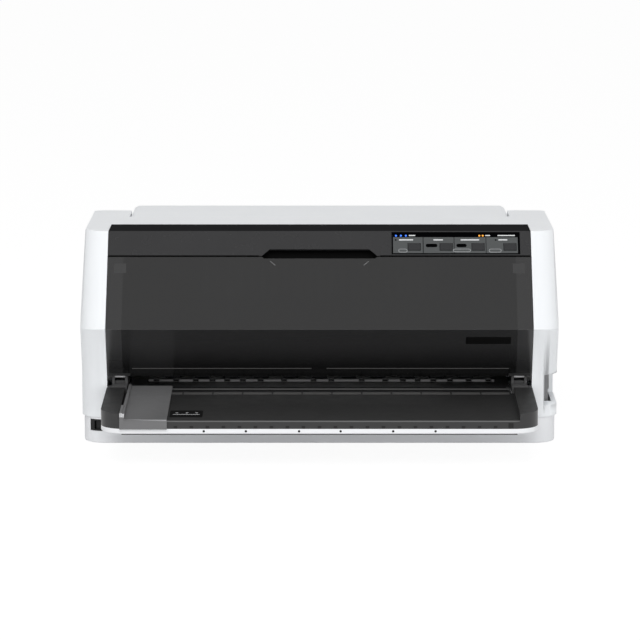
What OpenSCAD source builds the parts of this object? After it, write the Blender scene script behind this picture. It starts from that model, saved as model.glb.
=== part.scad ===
// Flatbed dot matrix printer with a tinted front cover that swings down and a sheet tray in front.
// X runs to the right, Y to the back, Z up. The origin is at the middle of the footprint, on the surface it stands on.

/* [Case] */
// Width over the casing
case_w = 480; // [470:1:500]
// Width of the casing at its top
top_w = 475.2; // [466:0.2:480]
// Depth of the casing from its front wall to its back wall
case_d = 203.4; // [200:0.2:225]
// Height over the casing
case_h = 210; // [200:1:230]
// Wall of the mouldings
wall = 2.8; // [2.2:0.1:3.2]
// Width of each cheek beside the cover
cheek_w = 26.5; // [24:0.5:30]
// Height of the crease in the front
crease_h = 120.3; // [112:0.1:130]
// Reach of the crease in front of the front wall
crease_out = 21.6; // [18:0.1:25]
// Height at which the cheeks start to lean forward, and the lower edge of the cover
knee_h = 69.3; // [68:0.1:73]
// Distance of the top's front edge behind the front wall
top_set = 44.5; // [40:0.5:50]
// Radius of the upright front corners
front_r = 22; // [14:1:26]
// Radius of the upright back corners
back_r = 11; // [6:1:16]
// Height of the seam between casing and base
seam_h = 27; // [26:0.5:30]
// Inset of the base below the casing
base_in = 2; // [1:0.5:3]
// Gap between mouldings that meet
gap = 0.3; // [0.2:0.05:0.4]

/* [Feet] */
// Height of the rubber feet
foot_h = 2; // [1.5:0.5:3]
// Radius of the rubber feet
foot_r = 9; // [7:0.5:12]
// Distance of the feet from the ends of the base
foot_in = 26; // [20:1:40]

/* [Fascia, keys and cover] */
// Depth of the dark fascia on the top
fascia_top = 49.5; // [44:0.5:56]
// Height of the dark fascia down the slope
fascia_drop = 28.5; // [27.5:0.5:32]
// Thickness of the fascia and of the cover
skin = 2.5; // [2:0.1:2.8]
// Left edge of the key panel
panel_x = 73; // [60:1:76]
// Distance from one key to the next
key_pitch = 32.2; // [28:0.1:33]
// Width of a key
key_w = 12.4; // [10:0.1:15]
// Height of a key
key_l = 8; // [6:0.1:9]
// Travel of a key
key_travel = 1.2; // [0.6:0.1:1.4]
// Width of the pale ledge behind each side of the cover
ledge_w = 17.5; // [14:0.5:19]
// Radius of the cover's hinge pins
hinge_r = 1.6; // [1.2:0.1:1.8]
// Half width of the finger notch at its upper edge
notch_w = 50; // [40:1:56]

/* [Sheet tray] */
// Reach of the tray in front of the casing
tray_reach = 126; // [110:1:140]
// Height of the sheet surface at the tray's front
tray_front_h = 48; // [46.5:0.5:49]
// Height of the sheet surface at the tray's back
tray_back_h = 54.7; // [54.2:0.1:54.8]
// Width of the raised shoulder at each side
shoulder_w = 18.7; // [17:0.1:22]
// Height of the dark tray's lower edge
tray_low_h = 40.2; // [39:0.1:41]
// Thickness of the white lip under the tray
lip_t = 5; // [4:0.2:6]
// Radius of the tray's front corners
tray_r = 24; // [16:1:30]
// Width of the edge guide
guide_w = 43.9; // [36:0.1:60]
// Thickness of the edge guide's plate
guide_t = 2.2; // [1.6:0.1:2.6]

/* [Paper path] */
// Height of the paper path
path_h = 55; // [55:0.1:55.6]
// Radius of the rubber feed rollers
roller_r = 8; // [7:0.1:8.6]
// Number of rubber sleeves on each feed roller
roller_count = 11; // [9:2:11]
// Length of a rubber sleeve
sleeve_w = 14; // [10:0.5:18]
// Radius of the pinch rollers
pinch_r = 5; // [4:0.1:5.5]
// Teeth on the equal gears of the feed train
gear_teeth = 28; // [28:1:28]
// Teeth on the motor pinion
pinion_teeth = 14; // [13:1:15]

/* [Print mechanism] */
// Place of the carriage at rest, right of the middle
carriage_x = 148; // [120:1:148]
// Width of the carriage
carriage_w = 52; // [46:1:54]
// Radius of the carriage's guide shaft
shaft_r = 5; // [4:0.1:5.5]
// Radius of the print head's housing
head_r = 20; // [16:0.5:21]
// Radius of the belt pulleys
pulley_r = 6; // [5:0.1:6.5]

/* [Back] */
// Reach of the rear guide behind the casing
rear_reach = 38.6; // [30:0.2:48]
// Half width of the rear guide
rear_hw = 197.5; // [180:0.5:200]
// Place of the tractors, each side of the middle
tractor_x = 120; // [100:1:130]

/* [Hidden] */
$fn = 48;

// Shares of the drawn width and depth, so what stands between the walls keeps its place among them
wide = case_w / 480;
deep = case_d / 203.4;

// Lengthwise places of the case
guide_front_t = 1.7;                       // plate of the edge guide over the tray's front
tray_y = -(tray_reach + guide_front_t + gap + case_d + rear_reach) / 2 + guide_front_t + gap;
front_y = tray_y + tray_reach;
back_y = front_y + case_d;
end_y = back_y + rear_reach;
crease_y = front_y - crease_out;
top_y = front_y + top_set;
half_w = case_w / 2;
open_x = half_w - cheek_w;                 // half width between the cheeks
open_x0 = 213.5;                           // the same at the standard width, which carriage_x belongs to
slope_a = atan2(case_h - crease_h, top_y - crease_y);
ledge_x = open_x - ledge_w;
panel_l = panel_x * wide;
pitch = key_pitch * wide;
notch_hw = notch_w * wide;
rear_w = rear_hw * wide;                   // half width of the rear guide
fascia_y = top_y + fascia_top;
cover_s = fascia_drop + 1;                 // where the cover starts, down the slope
low = -600;
far = 600;

// Paper path and drive
fit = 0.05;                                // radial running clearance
mesh_gap = 0.15;
roller_z = path_h + 0.3 - roller_r;
pinch_z = path_h + 0.6 + pinch_r;
front_roller_y = front_y + 65 * deep;
roller_gap = 54 * deep;
rear_roller_y = front_roller_y + roller_gap;
gear_m = deep;                             // module of the gears' teeth
gear_d = gear_teeth * gear_m + mesh_gap;   // distance of two equal gears
idler_y = front_roller_y + roller_gap / 2;
idler_z = roller_z + sqrt(gear_d * gear_d - roller_gap * roller_gap / 4);
pinion_z = idler_z - (gear_teeth + pinion_teeth) / 2 * gear_m - mesh_gap;
idler2_y = rear_roller_y + gear_d;
tractor_y = idler2_y + gear_d;
rod_y = tractor_y + 15.7 * deep;
tractor_at = tractor_x * wide;
head_y = front_roller_y + 22 * deep;
head_hr = head_r * deep;
head_x = open_x - (open_x0 - carriage_x);
shaft_y = front_roller_y + 52 * deep;
shaft_z = path_h + 27;
rail_z = shaft_z + 34;
rail_r = 4;
belt_y = shaft_y + 32 * deep;
belt_z = path_h + 42;
belt_h = 6;
belt_t = 1.2;
belt_play = 0.2;
frame_x = open_x - 14.5;                   // inner face of the side frames
frame_t = 2;
pulley_x = frame_x - 21;
chassis_z = 8;
chassis_t = 1.5;
frame_low = chassis_z + chassis_t;
axle_r = 4;
pinch_axle_r = 2;
sleeve_pitch = 30 * wide;
gear_x0 = frame_x + frame_t + 0.4;
gear_w = 4.6;
nose_z = path_h + 2.6;
block_x = [open_x - 20.5, open_x - 5];
pin_y = front_y + 6.5;
pin_z = knee_h - 1.3;
tray_hw = open_x - 0.5;
tray_in = tray_hw - shoulder_w;
tray_back = front_y - 14.5;                // back end of the shoulders
tray_slope = (tray_back_h - tray_front_h) / (tray_reach - 3);
surface_h = function (y) tray_front_h + (y - tray_y) * tray_slope;

// ---------- helpers ----------

module slab(x, y, z)
    translate([x[0], y[0], z[0]]) cube([x[1] - x[0], y[1] - y[0], z[1] - z[0]]);

// A bar along X at y, z
module rod_x(r, x, y, z)
    translate([x[0], y, z]) rotate([0, 90, 0]) cylinder(r = r, h = x[1] - x[0]);

module rod_y(r, x, y, z)
    translate([x, y[0], z]) rotate([-90, 0, 0]) cylinder(r = r, h = y[1] - y[0]);

// A side outline of [y, z] points, drawn out along X
module outline_x(points, x)
    translate([x[0], 0, 0]) rotate([90, 0, 90]) linear_extrude(x[1] - x[0]) polygon(points);

module both_sides() {
    children();
    mirror([1, 0, 0]) children();
}

// A rectangle whose two corners at the y1 end are round
module round_end(hw, y0, y1, r) {
    translate([-hw, y0]) square([2 * hw, y1 - r - y0]);
    translate([-hw + r, y0]) square([2 * (hw - r), y1 - y0]);
    for (s = [-1, 1]) translate([s * (hw - r), y1 - r]) circle(r);
}

// A rectangle whose two corners at the y1 end are cut off
module flat_end(hw, y0, y1, cut)
    polygon([[-hw, y0], [hw, y0], [hw, y1 - cut], [hw - cut, y1], [cut - hw, y1], [-hw, y1 - cut]]);

// Plan with round front and back corners
module plan(hw, y0, y1, r_front, r_back)
    intersection() {
        mirror([0, 1]) round_end(hw, -y1, -y0, r_front);
        round_end(hw, y0, y1, r_back);
    }

// Frame on the slope: x across, y up the slope from its top edge, z out of it
module on_slope() translate([0, top_y, case_h]) rotate([slope_a, 0, 0]) children();

function knee_a() = atan2(crease_h - knee_h, crease_y - front_y);

// Frame on the face under the crease: y up the face from the crease, z out of it
module on_lower_face() translate([0, crease_y, crease_h]) rotate([knee_a(), 0, 0]) children();

// Slab that leans with the frame it stands in, with its front corners round
module leaning(hw, inset, r)
    rotate([90, 0, 0]) translate([0, 0, -300]) linear_extrude(600) round_end(hw, low, -inset, r);

// Outer form of the casing, or the form inset by i
module case_form(i, z0, z1) {
    r = front_r - i;
    hw = half_w - i;
    hw_top = top_w / 2 - i;
    lap = 30;                              // overlap of the upright and the leaning form
    intersection() {
        union() {
            translate([0, 0, z0]) linear_extrude(knee_h + lap - z0)
                mirror([0, 1]) round_end(hw, -far, -front_y - i, r);
            intersection() {
                slab([-hw, hw], [low, far], [knee_h - lap, z1]);
                on_lower_face() leaning(hw, i, r);
                on_slope() leaning(hw, i, r);
            }
        }
        translate([0, 0, z0]) linear_extrude(z1 - z0)
            if (i > 0) flat_end(hw, low, back_y - i, (back_r - i) * 0.6);
            else round_end(hw, low, back_y, back_r);
        translate([0, far, 0]) rotate([90, 0, 0]) linear_extrude(2 * far)
            polygon([[-hw, 0], [hw, 0], [hw, crease_h], [hw_top, case_h], [-hw_top, case_h], [-hw, crease_h]]);
    }
}

// Points of a strip that follows the front, from the slope down to height z1, between two depths below the face
function face_point(s, depth) =
    [top_y - s * cos(slope_a) + depth * sin(slope_a), case_h - s * sin(slope_a) - depth * cos(slope_a)];
function lower_point(z, depth) =
    let (a = knee_a(), t = (crease_h - z) / sin(a))
    [crease_y - t * cos(a) + depth * sin(a), z - depth * cos(a)];
function crease_point(depth) =
    let (n1 = [sin(slope_a), -cos(slope_a)], n2 = [sin(knee_a()), -cos(knee_a())])
    [crease_y, crease_h] + depth * (n1 + n2) / (1 + n1 * n2);
function front_strip(s, z, d0, d1) =
    [face_point(s, d0), crease_point(d0), lower_point(z, d0), lower_point(z, d1), crease_point(d1), face_point(s, d1)];

function spread(n, pitch) = [for (i = [0 : n - 1]) (i - (n - 1) / 2) * pitch];

// Outline of a spur gear, with a tooth at the angle phase
function gear_points(n, phase) =
    let (p = 360 / n, root = (n / 2 - 1.15) * gear_m, tip = (n / 2 + 0.85) * gear_m)
    [for (i = [0 : n - 1], q = [[root, -0.26], [tip, -0.1], [tip, 0.1], [root, 0.26]])
        let (a = phase + (i + q[1]) * p) q[0] * [cos(a), sin(a)]];

// Phase of gear 2 that meshes with gear 1, which lies towards it at the angle t
function meshing(t, n1, phase1, n2) = t + 180 - 360 / n2 * ((phase1 - t) * n1 / 360 + 0.5);

module gear(n, phase, x, y, z, bore)
    difference() {
        translate([0, y, z]) outline_x(gear_points(n, phase), x);
        rod_x(bore, [x[0] - 1, x[1] + 1], y, z);
        if (n > 20)
            for (a = [0 : 60 : 300])
                rod_x(n * 0.1 * gear_m, [x[0] - 1, x[1] + 1], y + n * 0.3 * gear_m * cos(a), z + n * 0.3 * gear_m * sin(a));
    }

// ---------- base and casing ----------

base_hw = half_w - base_in;
floor_t = 2.5;
floor_z = foot_h + floor_t;
feet_at = [for (x = [-1, 1], y = [front_y + foot_in, back_y - foot_in]) [x * (base_hw - foot_in - 10), y]];
boss_at = [for (x = [-1, 1], y = [front_y + 40, back_y - 24]) [x * (frame_x - 20), y]];
switch_x = [-half_w + 9, -half_w + 35];
switch_z = [12.6, 24.6];
lever_x = half_w - 9;
lever_y = front_y + 40;
lever_z = 12;
lever_pin_r = 2.5;

module base_pan() color([0.68, 0.69, 0.71]) {
    difference() {
        translate([0, 0, foot_h]) linear_extrude(seam_h - gap - foot_h)
            plan(base_hw, front_y, back_y, front_r, back_r);
        translate([0, 0, floor_z]) linear_extrude(seam_h)
            plan(base_hw - wall, front_y + wall, back_y - wall, front_r - wall, back_r - wall);
        slab(switch_x, [front_y - 1, front_y + 17], switch_z);
        for (x = spread(17, 16), y = [front_y + 60, front_y + 120])
            slab([x - 2, x + 2], [y, y + 40], [foot_h - 1, floor_z + 1]);
    }
    for (p = boss_at) translate([p[0], p[1], floor_z]) difference() {
        cylinder(r = 5, h = chassis_z - floor_z);
        cylinder(r = 1.5, h = chassis_z);
    }
    // Stand and pin of the release lever
    slab([lever_x - 9, lever_x - 6], [lever_y - 9, lever_y + 9], [floor_z, lever_z + 6]);
    rod_x(lever_pin_r, [lever_x - 7, lever_x + 3], lever_y, lever_z);
}

module rubber_feet() color([0.16, 0.16, 0.17])
    for (p = feet_at) translate([p[0], p[1], 0]) {
        cylinder(r1 = foot_r - 1, r2 = foot_r, h = foot_h / 2);
        translate([0, 0, foot_h / 2]) cylinder(r = foot_r, h = foot_h / 2);
    }

sill_z = path_h - 2.3;
recess_x = half_w - 14;
recess_y = front_y + 80;
recess_z = [38.4, 70];
lever_slot = 4.2;                          // half width of the slot that the lever swings in
rear_slot_hw = 190 * wide;
rear_slot_z = [path_h - 9, path_h + 13];
lid_t = 3.5;
lid_y = back_y - 50;
lid_pin_r = 1.2;
lid_pin_y = lid_y + 4.5;
lid_pin_z = case_h - lid_t / 2;
lid_drop = 9.5;
socket_x = [-half_w + 12, -half_w + 33];
socket_z = [29.5, 57.5];
ports_x = [90, 186] * wide;
ports_z = [28.5, 42.5];
tray_hook_x = [-150, 0, 150] * wide;
tray_hook_z = [42, 45];

module casing_shell()
    difference() {
        case_form(0, seam_h, case_h);
        case_form(wall, seam_h - 1, case_h - wall);
        // Opening between the cheeks, down to the sill
        slab([-open_x, open_x], [low, fascia_y + gap], [sill_z, far]);
        // Slots that hold the tray
        for (x = tray_hook_x)
            slab([x - 10.5, x + 10.5], [front_y - 1, front_y + wall + 1], [tray_hook_z[0] - 0.5, tray_hook_z[1] + 0.5]);
        // Recess of the release lever
        slab([recess_x, far], [low, recess_y], recess_z);
        // Paper opening and sockets in the back
        slab([-rear_slot_hw, rear_slot_hw], [back_y - wall - 1, far], rear_slot_z);
        slab(socket_x, [back_y - wall - 1, far], socket_z);
        slab(ports_x, [back_y - wall - 1, far], ports_z);
        // Bed of the rear guide
        slab([-rear_w - 1, rear_w + 1], [lid_y, far], [case_h - lid_drop, far]);
        // Ventilation slots in the back and the sides
        for (x = spread(21, 12)) slab([x - 3, x + 3], [back_y - wall - 1, far], [118, 160]);
        for (y = [0 : 6]) slab([-far, far], [back_y - 88.4 + y * 9, back_y - 84.4 + y * 9], [86, 112]);
    }

module upper_casing() color([0.93, 0.94, 0.95]) {
    bed_x = rear_w + 1;
    difference() {
        union() {
            casing_shell();
            // Floor, front and sides of the rear guide's bed
            slab([-bed_x - wall, bed_x + wall], [lid_y - wall, back_y - 0.5], [case_h - lid_drop - wall, case_h - lid_drop]);
            slab([-bed_x - wall, bed_x + wall], [lid_y - wall, lid_y], [case_h - lid_drop - wall, case_h - 1]);
            both_sides() slab([bed_x, bed_x + wall], [lid_y - wall, back_y - 0.5], [case_h - lid_drop - wall, case_h - 1]);
        }
        both_sides() rod_x(lid_pin_r + fit, [rear_w - 1, rear_w + 9], lid_pin_y, lid_pin_z);
    }
    both_sides() {
        // Inner wall of the cheek, ledge behind the cover and ledge under the fascia
        outline_x([face_point(1, wall / 2), crease_point(wall / 2), lower_point(knee_h, wall / 2),
            [front_y + wall, knee_h], [front_y + wall, seam_h + 12], [front_y + 42, seam_h + 12],
            [front_y + 42, knee_h], [fascia_y, case_h - 40], [fascia_y, case_h - 1]], [open_x, open_x + wall]);
        difference() {
            outline_x(front_strip(2, knee_h + 11, skin + gap * 2, skin + gap * 2 + wall), [ledge_x, open_x + 1]);
            on_slope() slab([0, open_x + 2], [-fascia_drop - 0.5, 5], [-skin - 4, 2]);
        }
        slab([ledge_x, open_x + 1], [top_y + 8, fascia_y - 3], [case_h - 2 * wall - 1, case_h - skin - gap]);
    }
    // Sill of the paper slot and ledge at the back edge of the fascia
    slab([-open_x - 1, open_x + 1], [front_y + 0.5, front_y + 42], [sill_z - wall, sill_z]);
    slab([-open_x - 1, open_x + 1], [fascia_y - 6, fascia_y + 4], [case_h - 2 * wall, case_h - wall]);
    // Walls of the lever's recess, with a slot in its floor
    difference() {
        intersection() {
            slab([recess_x - wall, half_w], [front_y + wall / 2, recess_y + wall], [recess_z[0] - wall, recess_z[1] + wall]);
            case_form(0.4, seam_h, case_h);
        }
        slab([recess_x, far], [low, recess_y], recess_z);
        slab([lever_x - lever_slot, lever_x + lever_slot], [lever_y - 12, recess_y - 5],
            [recess_z[0] - wall - 1, recess_z[0] + 1]);
    }
}

// ---------- fascia, keys and cover ----------

panel_s = [1.4, 26.2];
panel_w = 4 * pitch + 0.2;
key_s = 18.3;
function key_x(i) = panel_l + 22.5 * wide + i * pitch;
lamp_s = 5.4;
lamp_r = 0.95;
blue_x = [for (i = [0 : 2]) panel_l + 4.2 + i * 5];
amber_x = [for (i = [0 : 1]) panel_l + 88.4 * wide + i * 3.5];
board_z = -9;

pocket_x = notch_hw + 11 * wide;
pocket_d = [8, 10];                        // depth of the finger pocket's floor below the slope

module control_fascia() color([0.22, 0.22, 0.235]) {
    // Finger pocket behind the notch
    on_slope() {
        slab([-pocket_x, pocket_x], [-cover_s - 1.5, -18], [-pocket_d[1], -pocket_d[0]]);
        slab([-pocket_x, pocket_x], [-20, -18], [-pocket_d[1], -skin + 0.5]);
        for (x = [-pocket_x, pocket_x - 2]) slab([x, x + 2], [-fascia_drop, -18], [-pocket_d[1], -skin + 0.5]);
    }
    difference() {
        outline_x([[fascia_y, case_h], [top_y, case_h], face_point(fascia_drop, 0), face_point(fascia_drop, 7),
            face_point(fascia_drop - skin, 7), face_point(fascia_drop - skin, skin),
            [top_y + skin * tan(slope_a / 2), case_h - skin], [fascia_y, case_h - skin]],
            [-open_x + gap, open_x - gap]);
        on_slope() {
            slab([panel_l - 0.2, panel_l + panel_w + 0.2], [-panel_s[1] - 0.15, -panel_s[0] + 0.2], [-skin - 1, 1]);
            // Finger notch, cut into the lower edge
            translate([0, 0, -far]) linear_extrude(2 * far)
                polygon([[-notch_hw, -21], [notch_hw, -21], [notch_hw + 9, -fascia_drop - 1],
                    [-notch_hw - 9, -fascia_drop - 1]]);
        }
    }
}

module key_panel() color([0.36, 0.36, 0.38]) on_slope() {
    difference() {
        slab([panel_l, panel_l + panel_w], [-panel_s[1], -panel_s[0]], [-1.8, 0]);
        for (i = [0 : 3])
            slab([key_x(i) - key_w / 2 - gap, key_x(i) + key_w / 2 + gap],
                [-key_s - key_l / 2 - gap, -key_s + key_l / 2 + gap], [-3, 1]);
        for (x = concat(blue_x, amber_x))
            translate([x, -lamp_s, -3]) cylinder(r = lamp_r + fit, h = 4);
    }
    // Posts that carry the board
    for (x = [panel_l + 1.6, panel_l + panel_w - 1.6], y = [-panel_s[1] + 1.7, -panel_s[0] - 3.5])
        translate([x, y, board_z + 1.6]) cylinder(r = 1.2, h = -board_z - 3);
}

module key(i) color([0.3, 0.3, 0.32]) on_slope() translate([key_x(i), -key_s, 0]) {
    slab([-key_w / 2, key_w / 2], [-key_l / 2, key_l / 2], [-1.2, 0.9]);
    slab([-key_w / 2 - 0.9, key_w / 2 + 0.9], [-key_l / 2 - 0.9, key_l / 2 + 0.9], [-3.2, -2.1]);
    slab([-key_w / 2, key_w / 2], [-key_l / 2, key_l / 2], [-2.2, -1]);
    translate([0, 0, board_z + 3.4 + key_travel]) cylinder(r = 1.5, h = -board_z - 6.5 - key_travel + 0.5);
}

module indicator_lamps() on_slope() {
    color([0.1, 0.35, 0.9]) for (x = blue_x) translate([x, -lamp_s, board_z + 1.6]) cylinder(r = lamp_r, h = -board_z - 1.5);
    color([0.95, 0.6, 0.1]) for (x = amber_x) translate([x, -lamp_s, board_z + 1.6]) cylinder(r = lamp_r, h = -board_z - 1.5);
}

module panel_board() color([0.1, 0.35, 0.2]) on_slope() {
    slab([panel_l + 1, panel_l + panel_w - 1], [-panel_s[1] + 0.5, -panel_s[0] - 0.5], [board_z, board_z + 1.6]);
    for (i = [0 : 3]) translate([key_x(i), -key_s, board_z + 1.6]) {
        slab([-3, 3], [-3, 3], [0, 1]);
        cylinder(r = 1.7, h = 1.6);
    }
    slab([panel_l + 40 * wide, panel_l + 56 * wide], [-9, -4.5], [board_z + 1.6, board_z + 4]);
}

knuckle_r = 4.6;

module front_cover() color([0.2, 0.2, 0.21, 0.9]) {
    difference() {
        outline_x(front_strip(cover_s, knee_h, 0, skin), [-open_x + 0.5, open_x - 0.5]);
        // The notch goes on a little way into the cover's upper edge
        on_slope() translate([0, 0, -far]) linear_extrude(2 * far)
            polygon([[-notch_hw - 9, -cover_s + 1], [notch_hw + 9, -cover_s + 1], [notch_hw + 6, -cover_s - 2],
                [-notch_hw - 6, -cover_s - 2]]);
    }
    // Rib behind the upper edge
    on_slope() slab([-ledge_x + 6, ledge_x - 6], [-cover_s - 6, -cover_s - 4], [-skin - 5, -skin + 0.5]);
    both_sides() difference() {
        union() {
            rod_x(knuckle_r, [block_x[1] + gap, open_x - 0.5], pin_y, pin_z);
            outline_x([lower_point(knee_h + 9, 1), lower_point(knee_h, 1), [pin_y, pin_z - 3], [pin_y + 3, pin_z + 3]],
                [block_x[1] + gap, open_x - 0.5]);
        }
        rod_x(hinge_r + fit, [block_x[0], open_x + 5], pin_y, pin_z);
    }
}

module cover_bumpers() color([0.55, 0.55, 0.57])
    both_sides() on_slope() slab([open_x - 18.5 + 1.5, open_x - 6], [-49.6, -36.5], [-skin - gap * 2, -skin - gap]);

module hinge_pins() color([0.86, 0.86, 0.87])
    both_sides() rod_x(hinge_r, [block_x[0] + 0.5, open_x - 0.8], pin_y, pin_z);

module hinge_blocks() color([0.17, 0.17, 0.18])
    both_sides() {
        slab(block_x, [front_y + 0.3, front_y + 38], [sill_z + gap, path_h + 6]);
        slab(block_x, [front_y - 13.6, front_y - gap], [seam_h + 13, path_h + 6]);
        slab(block_x, [front_y - 5, front_y + 5], [sill_z + gap, path_h + 6]);
        // Lower step beside the block, towards the cheek
        slab([block_x[1] - 0.5, open_x - 0.8], [front_y - 13, front_y - gap], [seam_h + 15, path_h + 4.5]);
        for (x = [block_x[0], block_x[1] - 2.5]) difference() {
            slab([x, x + 2.5], [pin_y - 3.5, pin_y + 3.5], [path_h + 5, pin_z + 3]);
            rod_x(hinge_r + fit, [x - 1, x + 4], pin_y, pin_z);
        }
    }

// ---------- paper path ----------

path_hw = block_x[0] - 1;
path_y = [front_y + 0.5, rear_roller_y + 38 * deep];
platen_y = [head_y - 6, head_y + 6];
platen_hw = pulley_x - 2;
sleeve_x = spread(roller_count, sleeve_pitch);
bar_y = [front_roller_y - 20, front_roller_y - 9];
bar_gaps = wide * [-166, -146, -126, -109, -94, -78, -60, -36, -6, 12, 43, 67, 85, 100, 116, 133, 152, 172];

module lower_guide() color([0.2, 0.2, 0.21]) {
    difference() {
        slab([-path_hw, path_hw], path_y, [sill_z + gap, path_h]);
        slab([-platen_hw - 1, platen_hw + 1], [platen_y[0] - 0.5, platen_y[1] + 0.5], [0, far]);
        for (y = [front_roller_y, rear_roller_y], x = sleeve_x)
            slab([x - sleeve_w / 2 - 1, x + sleeve_w / 2 + 1], [y - 7, y + 7], [0, far]);
        // Two grooves in front
        for (y = [front_y + 4.5, front_y + 9]) slab([-far, far], [y, y + 1.2], [path_h - 1, far]);
    }
    // Feet on the chassis
    for (x = [17 - path_hw, -22 * wide, path_hw - 17], y = [path_y[0] + 45 * deep, path_y[1] - 8])
        slab([x - 2, x + 2], [y, y + 6], [frame_low, sill_z + 1]);
}

module notched_bar() color([0.3, 0.3, 0.31])
    difference() {
        slab([-174 * wide, 178 * wide], bar_y, [path_h, path_h + 2.2]);
        for (x = bar_gaps) slab([x - 2.6, x + 2.6], [bar_y[0] - 1, bar_y[1] - 2.5], [path_h + 0.6, far]);
    }

module platen_bar() color([0.12, 0.12, 0.13]) {
    slab([-platen_hw, platen_hw], platen_y, [path_h - 10, path_h - 0.3]);
    for (x = [-platen_hw + 30, platen_hw - 30])
        slab([x - 6, x + 6], [platen_y[0] + 2, platen_y[1] - 2], [frame_low, path_h - 9]);
}

module feed_roller(y) {
    color([0.75, 0.76, 0.78]) rod_x(axle_r, [-gear_x0 - gear_w, frame_x + frame_t + 3], y, roller_z);
    color([0.1, 0.1, 0.1]) for (x = sleeve_x) rod_x(roller_r, [x - sleeve_w / 2, x + sleeve_w / 2], y, roller_z);
}

module pinch_roller(y) {
    color([0.75, 0.76, 0.78]) rod_x(pinch_axle_r, [-frame_x - frame_t - 0.2, frame_x + frame_t + 3], y, pinch_z);
    color([0.25, 0.25, 0.26]) for (x = sleeve_x) rod_x(pinch_r, [x - sleeve_w / 2, x + sleeve_w / 2], y, pinch_z);
}

module chassis_plate() color([0.7, 0.71, 0.73])
    difference() {
        slab([-frame_x - frame_t - 2, frame_x + frame_t + 2], [front_y + 14, back_y - 9], [chassis_z, chassis_z + chassis_t]);
        for (p = boss_at) translate([p[0], p[1], 0]) cylinder(r = 1.8, h = 30);
    }

frame_outline = [[front_y + 43 * deep, frame_low], [back_y - 11, frame_low], [back_y - 11, path_h + 7],
    [belt_y + 20, path_h + 7], [belt_y + 20, rail_z + 12], [front_y + 57 * deep, rail_z + 12],
    [front_y + 43 * deep, rail_z + 2]];
motor_w = 35;

module side_frame(side)
    difference() {
        outline_x(frame_outline, side > 0 ? [frame_x, frame_x + frame_t] : [-frame_x - frame_t, -frame_x]);
        for (q = [[front_roller_y, roller_z, axle_r], [rear_roller_y, roller_z, axle_r],
            [front_roller_y, pinch_z, pinch_axle_r], [rear_roller_y, pinch_z, pinch_axle_r],
            [shaft_y, shaft_z, shaft_r], [shaft_y, rail_z, rail_r], [tractor_y, roller_z, 3], [rod_y, roller_z, 3]])
            rod_x(q[2] + fit, [-far, far], q[0], q[1]);
        if (side < 0) rod_x(6, [-far, far], idler_y, pinion_z);
    }

module left_frame() color([0.72, 0.73, 0.75]) {
    side_frame(-1);
    // Stub axles of the two idler gears
    rod_x(2.5, [-gear_x0 - gear_w - 0.5, -frame_x - 1], idler_y, idler_z);
    rod_x(2.5, [-gear_x0 - gear_w - 0.5, -frame_x - 1], idler2_y, roller_z);
}

module right_frame() color([0.72, 0.73, 0.75]) side_frame(1);

module cross_beam() color([0.66, 0.67, 0.69]) {
    slab([-frame_x + 0.2, frame_x - 0.2], [belt_y + 18, belt_y + 19.5], [path_h + 27, belt_z + 14]);
    for (s = [-1, 1]) difference() {
        slab([s * pulley_x - 17, s * pulley_x + 17], [belt_y - 16, belt_y + 19], [belt_z - 4, belt_z - 2.5]);
        translate([s * pulley_x, belt_y, 0]) cylinder(r = s > 0 ? 4 : 1.5 + fit, h = far);
    }
}

// ---------- print mechanism ----------

module guide_shaft() color([0.82, 0.83, 0.85]) rod_x(shaft_r, [-frame_x - 5, frame_x + 5], shaft_y, shaft_z);

module support_rail() color([0.82, 0.83, 0.85]) rod_x(rail_r, [-frame_x - 5, frame_x + 5], shaft_y, rail_z);

belt_run_y = belt_y - pulley_r - belt_play - belt_t / 2;
plate_z = shaft_z - 10;

module carriage() color([0.15, 0.15, 0.16]) translate([head_x, 0, 0]) {
    hw = carriage_w / 2;
    difference() {
        union() {
            rod_x(shaft_r + 4, [-hw, hw], shaft_y, shaft_z);
            slab([-hw, hw], [head_y - head_hr - 2, shaft_y - 2], [plate_z, plate_z + 6]);
            slab([-hw, hw], [shaft_y + 5, shaft_y + 9], [shaft_z - 6, rail_z + 7]);
            slab([-hw, hw], [shaft_y - 7, shaft_y + 7], [rail_z - 7, rail_z + 7]);
            slab([-6, 6], [shaft_y + 8, belt_run_y + 3.5], [belt_z - 2, belt_z + belt_h + 2]);
            for (x = [-hw, hw - 3]) slab([x, x + 3], [head_y - head_hr - 2, shaft_y], [plate_z, plate_z + 16]);
        }
        rod_x(shaft_r + fit, [-hw - 1, hw + 1], shaft_y, shaft_z);
        rod_x(rail_r + fit, [-hw - 1, hw + 1], shaft_y, rail_z);
        translate([0, head_y, 0]) cylinder(r = 11, h = far);
        slab([-7, 7], [belt_run_y - belt_t / 2 - 0.3, belt_run_y + belt_t / 2 + 0.3], [belt_z - 0.4, far]);
    }
}

module print_head() translate([head_x, head_y, 0]) {
    top = plate_z + 6;
    color([0.35, 0.36, 0.38]) {
        translate([0, 0, top]) cylinder(r = head_hr - 2.5, h = 21);
        for (k = [0 : 4]) translate([0, 0, top + k * 4.4]) cylinder(r = head_hr, h = 2);
        translate([0, 0, nose_z + 9]) cylinder(r = 10, h = top - nose_z - 8);
    }
    color([0.6, 0.61, 0.63]) translate([0, 0, nose_z]) cylinder(r1 = 3.2, r2 = 10, h = 9.5);
}

module belt_loop(r)
    union() {
        for (s = [-1, 1]) translate([s * pulley_x, belt_y]) circle(r);
        translate([-pulley_x, belt_y - r]) square([2 * pulley_x, 2 * r]);
    }

module drive_belt() color([0.08, 0.08, 0.08]) translate([0, 0, belt_z]) linear_extrude(belt_h)
    difference() {
        belt_loop(pulley_r + belt_play + belt_t);
        belt_loop(pulley_r + belt_play);
    }

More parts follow.
